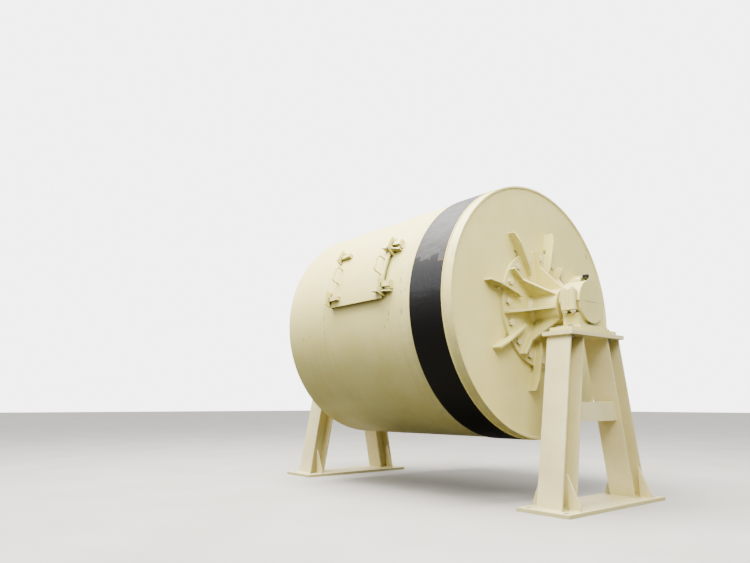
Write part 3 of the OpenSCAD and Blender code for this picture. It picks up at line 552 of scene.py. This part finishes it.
# %% Zinc and black enamel
def zinc_plate():
    material, tree, shader = new_material("zinc_plated_steel", {"Metallic": 1.0})
    place = add(tree, "TexCoord").outputs["Object"]
    bloom = add(tree, "TexVoronoi", {"Vector": place, "Scale": 1 / 0.004}, feature="SMOOTH_F1")
    patch = add(tree, "TexNoise", {"Vector": place, "Scale": 1 / 0.02, "Detail": 6.0})
    colour = add(tree, "ValToRGB", {0: patch},
                 stops=[(0.40, linear("#B4B7B8")), (0.60, linear("#9A9C98")), (0.72, linear("#8A7F68"))])
    tree.links.new(colour.outputs["Color"], shader.inputs["Base Color"])
    rough = add(tree, "MapRange", {"Value": bloom, "To Min": 0.32, "To Max": 0.55})
    tree.links.new(rough.outputs["Result"], shader.inputs["Roughness"])
    round_edge = add(tree, "Bevel", {"Radius": 0.001}, samples=4)
    tree.links.new(round_edge.outputs["Normal"], shader.inputs["Normal"])
    return material


def black_enamel():
    material, tree, shader = new_material("black_baked_enamel", {"IOR": 1.5})
    place = add(tree, "TexCoord").outputs["Object"]
    dust = add(tree, "TexNoise", {"Vector": place, "Scale": 1 / 0.012, "Detail": 7.0, "Roughness": 0.7})
    facing = add(tree, "SeparateXYZ", {0: add(tree, "TexCoord").outputs["Normal"]})
    lying = add(tree, "Math", {0: facing.outputs["Z"], 1: dust}, operation="MULTIPLY", use_clamp=True)
    colour = add(tree, "Mix", {0: lying, UNDER: linear("#080706"), OVER: linear("#2A2824")},
                 data_type="RGBA")
    tree.links.new(colour.outputs[2], shader.inputs["Base Color"])
    rough = add(tree, "MapRange", {"Value": dust, "To Min": 0.22, "To Max": 0.5})
    tree.links.new(rough.outputs["Result"], shader.inputs["Roughness"])
    round_edge = add(tree, "Bevel", {"Radius": 0.001}, samples=4)
    tree.links.new(round_edge.outputs["Normal"], shader.inputs["Normal"])
    return material


zinc = zinc_plate()
cup_enamel = black_enamel()
print("made", zinc.name, "and", cup_enamel.name)

# %% [markdown]
# Every node gets the finish of what it was made from. The names of the solids say what they are,
# so a short table from the start of a name to a finish covers all of them.

# %% Give every solid its finish
FINISHES = {
    "shell": enamel_on_shell, "head_drive_end": enamel_on_drive_head, "drive_band": track_paint,
    "trunnion": turned_steel, "bearing_bush": turned_bronze, "bearing_": enamel_on_casting,
    "hub_bolts": enamel_on_bolts, "hub_": enamel_on_hub, "cap_bolts": enamel_on_bolts,
    "hold_down_bolts": zinc, "oil_cup": cup_enamel, "ribs": enamel_on_cut_plate,
    "gussets": enamel_on_cut_plate, "clamp_": enamel_on_clamps, "manhole_handles": enamel_on_clamps,
    "stand_": enamel_on_sections,
}
for name, piece in nodes.items():
    finish = next((made for start, made in FINISHES.items() if name.startswith(start)), enamel_on_plate)
    piece.data.materials.clear()
    piece.data.materials.append(finish)
print("finished", len(nodes), "solids")

# %% [markdown]
# A weld bead fills the corner where two plates meet. In section it is a triangle with a bulging
# face, and along its length it shows the ripples that each pulse of the arc leaves. One function
# makes all beads: it walks along a list of corner points, and at each it lays five points from
# one wall to the other, lifting every second row a little. A modifier could sweep a profile along
# a curve, but it couldn't ripple it or follow two walls that turn.

# %% Weld beads
RIPPLE_M = 0.003


def bead(corners, wall_a, wall_b, leg, bulge=0.18, closed=False, outward=None):
    """Points and faces of one bead. wall_a and wall_b point from the corner along each plate."""
    corners, wall_a, wall_b = (np.asarray(v, dtype=float) for v in (corners, wall_a, wall_b))
    count = len(corners)
    wall_a = np.broadcast_to(wall_a, corners.shape)
    wall_b = np.broadcast_to(wall_b, corners.shape)
    lift = wall_a + wall_b if outward is None else np.broadcast_to(np.asarray(outward, float), corners.shape)
    lift = lift / np.linalg.norm(lift, axis=1, keepdims=True)
    steps = np.arange(count)
    ripple = 1 + 0.07 * (steps % 2) + 0.05 * np.sin(steps * 0.21) + 0.04 * np.sin(steps * 0.047 + 1)
    if not closed:
        ripple[[0, -1]] *= 0.35
    size = (leg * ripple)[:, None]
    rows = []
    for t in (0.0, 0.25, 0.5, 0.75, 1.0):
        swell = bulge * 4 * t * (1 - t)
        rows.append(corners + size * ((1 - t) * wall_a + t * wall_b + swell * lift))
    points = np.stack(rows, axis=1).reshape(-1, 3)
    faces = []
    for i in range(count if closed else count - 1):
        j = (i + 1) % count
        faces += [(5 * i + k, 5 * i + k + 1, 5 * j + k + 1, 5 * j + k) for k in range(4)]
    return points, faces


def along(start, end):
    """Points from start to end, one for each half ripple."""
    start, end = np.asarray(start, dtype=float), np.asarray(end, dtype=float)
    count = max(4, int(np.linalg.norm(end - start) / RIPPLE_M))
    return start + (end - start) * np.linspace(0, 1, count)[:, None]


def outwards(degrees):
    """The unit vector straight out of the drum, at an angle above the level on the camera's side."""
    turn = np.radians(degrees)
    return np.stack([0 * turn, -np.cos(turn), np.sin(turn)], axis=-1)


def upwards(degrees):
    """The unit vector that runs upwards round the drum at that angle."""
    turn = np.radians(degrees)
    return np.stack([0 * turn, np.sin(turn), np.cos(turn)], axis=-1)


def new_piece(name, parts, material, body, smooth=True):
    """One object from a list of (points, faces), finished and riding on a body."""
    points, faces, start = [], [], 0
    for part_points, part_faces in parts:
        points.append(np.asarray(part_points, dtype=float))
        faces += [tuple(start + i for i in face) for face in part_faces]
        start += len(part_points)
    mesh = bpy.data.meshes.new(name)
    mesh.from_pydata(np.concatenate(points).tolist(), [], faces)
    mesh.materials.append(material)
    mesh.update()
    work = bmesh.new()
    work.from_mesh(mesh)
    bmesh.ops.recalc_face_normals(work, faces=work.faces)
    work.to_mesh(mesh)
    work.free()
    mesh.polygons.foreach_set("use_smooth", [smooth] * len(mesh.polygons))
    piece = bpy.data.objects.new(name, mesh)
    bpy.context.scene.collection.objects.link(piece)
    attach(piece, body)
    print(name, len(faces), "faces")
    return piece


AXIS = np.array([0.0, 0.0, AXIS_HEIGHT])
ALONG = np.array([1.0, 0.0, 0.0])


def drum_end(side):
    """The word that ends the names of this end's solids."""
    return "drive_end" if side > 0 else "tail_end"


print("ripples", RIPPLE_M * 1000, "mm apart")

# %% [markdown]
# Each end of the drum has four families of welds: the ring that joins the head plate to the
# shell, both sides of eight long ribs, both sides of eight gussets, and the gussets' run along
# the neck. The tail end is the drive end mirrored in X, so one cell makes both. Sizes are
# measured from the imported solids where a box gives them.

# %% Welds on the drum's ends
HEAD_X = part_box("head_drive_end")[1].x
FLANGE_X = HEAD_X + 0.025
SHELL_BORE = DRUM_RADIUS - 0.0163
FLANGE_R = 0.488
NECK_R, NECK_FILLET = 0.138, 0.026
PLATE_T = 0.016
GUSSET_PHASE, BAYS = 36.7, 8
RIB_PHASE = GUSSET_PHASE + 180 / BAYS
RIB_FROM, RIB_NOTCH_END, RIB_TO = 0.302, 0.543, 0.694
GUSSET_FROM, GUSSET_TIP = NECK_R + NECK_FILLET + 0.004, 0.481
NECK_RUN = (FLANGE_X + 0.03, 1.352)
LEG_M = 0.007
NOTCH_R, NOTCH_FILL = 0.027, 0.014


def spoke_runs(side, degrees, half_t, runs, leg):
    """Beads on both faces of a plate that stands on the head like a spoke. runs are (x, from, to)."""
    parts = []
    out = outwards(degrees)
    for face in (-1, 1):
        away = upwards(degrees) * face
        for x, low, high in runs:
            start = AXIS + np.array([side * x, 0, 0]) + out * low + away * half_t
            parts.append(bead(along(start, start + out * (high - low)), away, ALONG * side, leg))
    return parts


def ring_bead(x, radius, wall_a, wall_b, leg, bulge=0.18, flat=False):
    """A closed bead round the axis. The walls are given as (x share, outward share)."""
    count = int(2 * math.pi * radius / (2 * RIPPLE_M)) * 2
    degrees = np.linspace(0, 360, count, endpoint=False)
    out = outwards(degrees)
    corners = AXIS + ALONG * x + out * radius
    walls = [ALONG * w[0] + out * w[1] for w in (wall_a, wall_b)]
    return bead(corners, walls[0], walls[1], leg, bulge, closed=True, outward=out if flat else None)


def notch_run(side, degrees):
    """The fat bead carried round a rib's half-round notch, which leaves a small hole of it."""
    turn = np.radians(np.linspace(0, 155, 34))[:, None]
    out = outwards(degrees)
    spoke = ALONG * side * np.sin(turn) + out * np.cos(turn)
    centre = AXIS + ALONG * side * HEAD_X + out * (FLANGE_R + NOTCH_R)
    return bead(centre + spoke * NOTCH_R, upwards(degrees), -upwards(degrees), PLATE_T / 2 + 0.001,
                NOTCH_FILL / PLATE_T * 2, outward=-spoke)


for side in (1, -1):
    end = drum_end(side)
    new_piece(f"rim_weld_{end}", [ring_bead(side * HEAD_X, SHELL_BORE, (side, 0), (0, -1), 0.0065)],
              enamel_on_plate, "drum")
    runs = []
    for bay in range(BAYS):
        runs += spoke_runs(side, RIB_PHASE + bay * 360 / BAYS, PLATE_T / 2,
                           [(HEAD_X, RIB_NOTCH_END, RIB_TO), (FLANGE_X, RIB_FROM, FLANGE_R)], LEG_M)
        runs.append(notch_run(side, RIB_PHASE + bay * 360 / BAYS))
    new_piece(f"rib_welds_{end}", runs, enamel_on_cut_plate, "drum")
    runs = []
    for bay in range(BAYS):
        degrees = GUSSET_PHASE + bay * 360 / BAYS
        runs += spoke_runs(side, degrees, PLATE_T / 2, [(FLANGE_X, GUSSET_FROM, GUSSET_TIP)], LEG_M)
        for face in (-1, 1):
            away, out = upwards(degrees) * face, outwards(degrees)
            foot = math.sqrt(NECK_R**2 - (PLATE_T / 2) ** 2)
            start = AXIS + out * foot + away * PLATE_T / 2
            runs.append(bead(along(start + ALONG * side * NECK_RUN[0], start + ALONG * side * NECK_RUN[1]),
                             away, out, LEG_M))
    new_piece(f"gusset_welds_{end}", runs, enamel_on_cut_plate, "drum")

# %% [markdown]
# The shell is rolled from two plates, so it has one seam round it and one along each course,
# set well apart from each other. Such a butt weld is nearly flush: it stands 1.5 mm proud and
# shows through the enamel as a faint band.

# %% Seams of the shell
SEAM_HALF_WIDTH, SEAM_HEIGHT = 0.008, 0.0015


def seam_along(degrees, start_x, end_x):
    corner = AXIS + outwards(degrees) * DRUM_RADIUS
    return bead(along(corner + ALONG * start_x, corner + ALONG * end_x), upwards(degrees), -upwards(degrees),
                SEAM_HALF_WIDTH, SEAM_HEIGHT / SEAM_HALF_WIDTH, outward=outwards(degrees))


new_piece("shell_seams", [
    ring_bead(SEAM_X, DRUM_RADIUS, (-1, 0), (1, 0), SEAM_HALF_WIDTH, SEAM_HEIGHT / SEAM_HALF_WIDTH,
              flat=True), seam_along(152, -RIM_X + 0.004, SEAM_X), seam_along(205, SEAM_X, RIM_X - 0.004),
], enamel_on_shell, "drum")

# %% [markdown]
# Round the manhole the frame is welded to the shell under the cover's lip, the eight clamp lugs
# stand on the shell with a bead on each face, and each handle's foot is welded to the cover.
# A clamp's own frame has X away from the cover, Y upwards round the drum and Z straight out.

# %% Welds round the manhole
MANHOLE_ANGLE, COVER_SPAN = 19.3, 30.4
COVER_HALF, COVER_LIP = 0.345, 0.030
FRAME_OUT, COVER_OUT = DRUM_RADIUS + 0.024, DRUM_RADIUS + 0.0383
CLAMPS = {1: 10.2, -1: 11.2}
TALL_LUG, LOW_LUG, LOW_FOOT = (0.006, 0.020), (0.086, 0.100), (-0.021, 0.049)
HANDLE_X, HANDLE_FOOT, HANDLE_ROD_R = (0.302, -0.282), 0.071, 0.007


def frame_weld():
    """The run round the frame's four sides, on the shell."""
    half_angle = COVER_SPAN / 2 - math.degrees(COVER_LIP / FRAME_OUT)
    half_x = COVER_HALF - COVER_LIP
    parts = []
    for side in (-1, 1):
        degrees = np.linspace(MANHOLE_ANGLE - half_angle, MANHOLE_ANGLE + half_angle, 160)
        out = outwards(degrees)
        parts.append(bead(AXIS + out * DRUM_RADIUS + ALONG * side * half_x, ALONG * side, out, 0.008))
        edge = MANHOLE_ANGLE + side * half_angle
        corner = AXIS + outwards(edge) * DRUM_RADIUS
        parts.append(bead(along(corner - ALONG * half_x, corner + ALONG * half_x), upwards(edge) * side,
                          outwards(edge), 0.008))
    return parts


def clamp_point(side, up, x, y, z):
    """A point in a clamp's own frame, in metres."""
    degrees = MANHOLE_ANGLE + up * CLAMPS[side]
    return AXIS + ALONG * side * (COVER_HALF + x) + upwards(degrees) * y + outwards(degrees) * z


def lug_welds(side, up, x_faces, spans, leg):
    """Beads on both faces of a lug, on the shell, for each (from, to) along its foot."""
    parts = []
    for x, away in x_faces:
        for low, high in spans:
            feet = np.linspace(low, high, max(4, int((high - low) / RIPPLE_M)))
            corners = np.stack([clamp_point(side, up, x, y, math.sqrt(DRUM_RADIUS**2 - y * y)) for y in feet])
            out = corners - AXIS
            out[:, 0] = 0
            parts.append(bead(corners, ALONG * side * away, out / DRUM_RADIUS, leg))
    return parts


lug_runs = []
for side in (1, -1):
    # the drive side's tall lugs have a notch for the flat bar beside the window
    tall_feet = [(-0.080, -0.048), (-0.036, -0.0255)] if side > 0 else [(-0.080, -0.0255)]
    tall_feet.append((0.0295, 0.058))
    for up in (-1, 1):
        lug_runs += lug_welds(side, up, [(TALL_LUG[0], -1), (TALL_LUG[1], 1)], tall_feet, 0.005)
        lug_runs += lug_welds(side, up, [(LOW_LUG[0], -1), (LOW_LUG[1], 1)], [LOW_FOOT], LEG_M)
new_piece("lug_welds", lug_runs, enamel_on_cut_plate, "drum")
new_piece("frame_weld", frame_weld(), enamel_on_cut_plate, "drum")


def collar(centre, axis, inner, leg, steps=28, bulge=0.2):
    """A small bead round a rod that stands on a surface."""
    axis = np.asarray(axis) / np.linalg.norm(axis)
    side_a = np.cross(axis, [1.0, 0.0, 0.0] if abs(axis[0]) < 0.9 else [0.0, 1.0, 0.0])
    side_a = side_a / np.linalg.norm(side_a)
    side_b = np.cross(axis, side_a)
    turn = np.linspace(0, 2 * math.pi, steps, endpoint=False)[:, None]
    out = np.cos(turn) * side_a + np.sin(turn) * side_b
    return bead(np.asarray(centre) + out * inner, out, axis, leg, bulge, closed=True)


handle_runs = []
for x in HANDLE_X:
    for foot in (-HANDLE_FOOT, HANDLE_FOOT):
        out, up = outwards(MANHOLE_ANGLE), upwards(MANHOLE_ANGLE)
        centre = AXIS + ALONG * x + up * foot + out * (math.sqrt(COVER_OUT**2 - foot**2) - 0.0005)
        handle_runs.append(collar(centre, out, HANDLE_ROD_R, 0.005))
new_piece("handle_welds", handle_runs, enamel_on_cut_plate, "drum")

# %% [markdown]
# A bolt that clamps painted iron has a washer under its head and its nut, and the stub that
# stands out of the nut shows its thread. A washer is a flat ring with a rounded rim, and the
# thread is a ridge of the standard pitch, 3 mm for these 24 mm bolts, wound round the stub as a
# helix. Both are turned profiles, made from a few rings of points. Along the joint between a
# bearing's cap and base a thin brown bead lies on the end face, fattest in the middle: it is
# painted shade, the dark line of the joint.

# %% Washers, threads and the painted shade of the joints
BEARING_X = RIM_X + 0.400
CAP_BOLT_X, CAP_BOLT_Y = 0.036, 0.182
BOSS_TOP, BOSS_BOTTOM = 0.088, -0.068
HOLD_DOWN_X, HOLD_DOWN_Y = 0.050, 0.255
FOOT_Z = AXIS_HEIGHT - 0.240
BEARING_FOOT_T, TOP_T = 0.032, 0.030
NUT_T = 0.8 * 0.024
CAP_STUB, HOLD_DOWN_STUB = 0.009, 0.004
BEARING_HALF = 0.088
# (from, to, half the width) of the painted shade bead along the joint
JOINT_SHADE_BEAD = [(-0.162, -0.100, 0.0008), (-0.100, 0.050, 0.002), (0.050, 0.162, 0.0008)]
UP = np.array([0.0, 0.0, 1.0])


def turned(centre, profile, steps=40):
    """A closed profile of (radius, height) turned round a vertical line."""
    centre = np.asarray(centre, dtype=float)
    points, faces, n = [], [], len(profile)
    for i in range(steps):
        turn = 2 * math.pi * i / steps
        points += [centre + np.array([r * math.cos(turn), r * math.sin(turn), z]) for r, z in profile]
        j = (i + 1) % steps
        faces += [(n * i + k, n * i + (k + 1) % n, n * j + (k + 1) % n, n * j + k) for k in range(n)]
    return np.array(points), faces


def washer(centre, up, inner=0.0172, outer=0.0252, thick=0.003):
    soft = 0.0007
    profile = [(inner, 0.0), (outer - soft, 0.0), (outer, soft), (outer, thick - soft), (outer - soft, thick),
               (inner, thick)]
    return turned(centre, [(r, z * up) for r, z in profile])


def thread(centre, length, core=0.0119, depth=0.0012, pitch=0.003, steps=20):
    """A helical ridge round a stub that hangs down from the centre."""
    turns = length / pitch
    count = int(turns * steps)
    points, faces = [], []
    for i in range(count + 1):
        turn = 2 * math.pi * i / steps
        drop = pitch * i / steps
        fade = min(1.0, i / 6, (count - i) / 6)
        crest = core + depth * fade
        for r, z in ((core, 0.0), (crest, pitch * 0.42), (crest, pitch * 0.58), (core, pitch)):
            points.append(np.asarray(centre) + np.array([r * math.cos(turn), r * math.sin(turn), -drop - z]))
    for i in range(count):
        faces += [(4 * i + k, 4 * i + k + 1, 4 * (i + 1) + k + 1, 4 * (i + 1) + k) for k in range(3)]
    return np.array(points), faces


# a brown finish for the bead of painted shade along each bearing's joint
joint_shade_paint = cream_enamel("brown_joint_compound", "#857A4C", "#6E6440", 0.002, 0.0003, 0.001, 0.9)
for side in (1, -1):
    end = drum_end(side)
    painted, bright = [], []
    for sx in (-1, 1):
        for sy in (-1, 1):
            at = np.array([side * BEARING_X + sx * CAP_BOLT_X, sy * CAP_BOLT_Y, AXIS_HEIGHT])
            painted.append(washer(at + [0, 0, BOSS_TOP], 1))
            painted.append(washer(at + [0, 0, BOSS_BOTTOM], -1))
            painted.append(thread(at + [0, 0, BOSS_BOTTOM - NUT_T], CAP_STUB))
            at = np.array([side * BEARING_X + sx * HOLD_DOWN_X, sy * HOLD_DOWN_Y, FOOT_Z])
            bright.append(washer(at + [0, 0, BEARING_FOOT_T], 1))
            bright.append(washer(at + [0, 0, -TOP_T], -1))
            bright.append(thread(at + [0, 0, -TOP_T - NUT_T], HOLD_DOWN_STUB))
    face = side * (BEARING_X + BEARING_HALF)
    squeezed = [bead(along((face, low, AXIS_HEIGHT), (face, high, AXIS_HEIGHT)), UP, -UP, half, 0.35,
                     outward=ALONG * side) for low, high, half in JOINT_SHADE_BEAD]
    new_piece(f"joint_shade_bead_{end}", squeezed, joint_shade_paint, "stands")
    new_piece(f"cap_washers_{end}", painted, enamel_on_bolts, "stands")
    new_piece(f"hold_down_washers_{end}", bright, zinc, "stands")

# %% [markdown]
# The stands are welded up from rolled sections. The beads run where each leg meets the foot
# plate and the top plate, where the tie meets the legs, and along the stiffeners' feet.

# %% Welds on the stands
FOOT_T = 0.025
LEG_TOP = FOOT_Z - TOP_T
LEG_FOOT_Y, LEG_TOP_Y = 0.480, 0.245
LEG_HALF_DEPTH, LEG_HALF_W = 0.090, 0.100
LEG_FLANGE_T = 0.014
WEB_HALF, WEB_GAP = 0.0045, 0.006
STIFFENER_X, STIFFENER_HALF = (0.104, 0.188), 0.007
TIE_Z, TIE_HALF_H, TIE_HALF_W = 0.675, 0.070, 0.060


def leg_y(z):
    """The middle of a leg at height z."""
    return LEG_FOOT_Y + (LEG_TOP_Y - LEG_FOOT_Y) * (z - FOOT_T) / (LEG_TOP - FOOT_T)


LEG_RISE = np.array([0.0, (LEG_TOP_Y - LEG_FOOT_Y), LEG_TOP - FOOT_T])
LEG_RISE = LEG_RISE / np.linalg.norm(LEG_RISE)


def stand_welds(side):
    middle = side * BEARING_X
    parts = []
    for sy in (-1, 1):
        mirror = np.array([1, sy, 1])
        rise = LEG_RISE * mirror
        for z, up in ((FOOT_T, 1), (LEG_TOP, -1)):
            # both faces of both flanges, then the web between them
            for offset, away in ((LEG_HALF_DEPTH, 1), (LEG_HALF_DEPTH - LEG_FLANGE_T, -1),
                                 (-LEG_HALF_DEPTH + LEG_FLANGE_T, 1), (-LEG_HALF_DEPTH, -1)):
                y = sy * (leg_y(z) + offset)
                spans = [(-LEG_HALF_W, LEG_HALF_W)]
                if abs(offset) != LEG_HALF_DEPTH:
                    spans = [(-LEG_HALF_W, -WEB_GAP), (WEB_GAP, LEG_HALF_W)]
                for x0, x1 in spans:
                    parts.append(bead(along((middle + x0, y, z), (middle + x1, y, z)), (0, sy * away, 0),
                                      rise * up, 0.008))
            for sx in (-1, 1):
                x = middle + sx * WEB_HALF
                inner = LEG_HALF_DEPTH - LEG_FLANGE_T
                parts.append(bead(along((x, sy * (leg_y(z) - inner), z), (x, sy * (leg_y(z) + inner), z)),
                                  (sx, 0, 0), rise * up, LEG_M))
        for sz in (-1, 1):
            z = TIE_Z + sz * TIE_HALF_H
            y = sy * (leg_y(z) - LEG_HALF_DEPTH)
            parts.append(bead(along((middle - TIE_HALF_W, y, z), (middle + TIE_HALF_W, y, z)), rise * sz,
                              (0, -sy, 0), LEG_M))
        for sx in (-1, 1):
            x = middle + sx * TIE_HALF_W
            ends = [(x, sy * (leg_y(z) - LEG_HALF_DEPTH), z)
                    for z in (TIE_Z - TIE_HALF_H, TIE_Z + TIE_HALF_H)]
            parts.append(bead(along(*ends), (sx, 0, 0), (0, -sy, 0), LEG_M))
            for face in (-1, 1):
                y = sy * LEG_FOOT_Y + face * STIFFENER_HALF
                ends = [(middle + sx * x, y, FOOT_T) for x in STIFFENER_X]
                parts.append(bead(along(*ends), (0, face, 0), UP, 0.006))
    return parts


for side in (1, -1):
    new_piece(f"stand_welds_{drum_end(side)}", stand_welds(side), enamel_on_sections, "stands")

# %% [markdown]
# The light is a plain bright studio dome: strongest overhead, as under a cloudy sky, and weaker
# towards the horizon, so that the drum's flank falls off gently and its corners stay readable.
# A large soft lamp hangs over the drum, and a weaker one stands high beside the camera, turned to
# the drive end. The floor is plain and pale.

# %% Floor, dome and lamps
DOME_TOP, DOME_HORIZON, DOME_SEEN = 2.7, 0.35, 6.0
FLOOR_BOUNCE = "#37362A"
FLOOR_M = 60


def make_floor():
    mesh = bpy.data.meshes.new("floor")
    corners = [(-FLOOR_M, -FLOOR_M, 0), (FLOOR_M, -FLOOR_M, 0), (FLOOR_M, FLOOR_M, 0), (-FLOOR_M, FLOOR_M, 0)]
    mesh.from_pydata(corners, [], [(0, 1, 2, 3)])
    floor = bpy.data.objects.new("floor", mesh)
    bpy.context.scene.collection.objects.link(floor)
    material, tree, shader = new_material("pale_screed", {"Roughness": 0.85})
    place = add(tree, "TexCoord").outputs["Object"]
    cloud = add(tree, "TexNoise", {"Vector": place, "Scale": 1.2, "Detail": 5.0})
    tint = add(tree, "ValToRGB", {0: cloud}, stops=[(0.3, linear("#A9A59E")), (0.7, linear("#B4B0A9"))])
    # the camera sees a pale floor, but it throws little light up at the drum, as bare ground does
    seen = add(tree, "LightPath").outputs["Is Camera Ray"]
    shown = add(tree, "Mix", {0: seen, UNDER: linear(FLOOR_BOUNCE), OVER: tint}, data_type="RGBA")
    tree.links.new(shown.outputs[2], shader.inputs["Base Color"])
    mesh.materials.append(material)
    return floor


def make_dome():
    world = bpy.data.worlds.new("studio_dome")
    world.use_nodes = True
    tree = world.node_tree
    tree.nodes.clear()
    way = add(tree, "TexCoord").outputs["Generated"]
    height = add(tree, "SeparateXYZ", {0: way})
    rising = add(tree, "MapRange", {"Value": height.outputs["Z"], "From Min": 0.0, "From Max": 0.8,
                                    "To Min": DOME_HORIZON, "To Max": DOME_TOP})
    # the dome is shown a little brighter than it lights, so that it stays a plain white backdrop
    seen = add(tree, "LightPath").outputs["Is Camera Ray"]
    strength = add(tree, "Mix", {0: seen, 2: rising, 3: DOME_SEEN}, data_type="FLOAT")
    sky = add(tree, "Background", {"Color": linear("#F3F3F3"), "Strength": strength})
    add(tree, "OutputWorld", {"Surface": sky.outputs["Background"]})
    bpy.context.scene.world = world


def make_lamp(name, place, target, size, power, colour):
    data = bpy.data.lights.new(name, "AREA")
    data.shape = "RECTANGLE"
    data.size, data.size_y = size
    data.energy = power
    data.color = linear(colour)[:3]
    lamp = bpy.data.objects.new(name, data)
    bpy.context.scene.collection.objects.link(lamp)
    lamp.location = place
    lamp.rotation_mode = "QUATERNION"
    lamp.rotation_quaternion = (Vector(target) - Vector(place)).to_track_quat("-Z", "Y")
    return lamp


floor = make_floor()
make_dome()
make_lamp("softbox_overhead", place=(-0.5, -2.0, 7.5), target=(0, 0, AXIS_HEIGHT), size=(6, 4),
          power=2800, colour="#FFFDF8")
make_lamp("softbox_end", place=(5.5, -4.0, 6.0), target=(1.1, 0, AXIS_HEIGHT), size=(3, 3),
          power=700, colour="#FFFDF8")
print("floor, dome and lamps are in place")
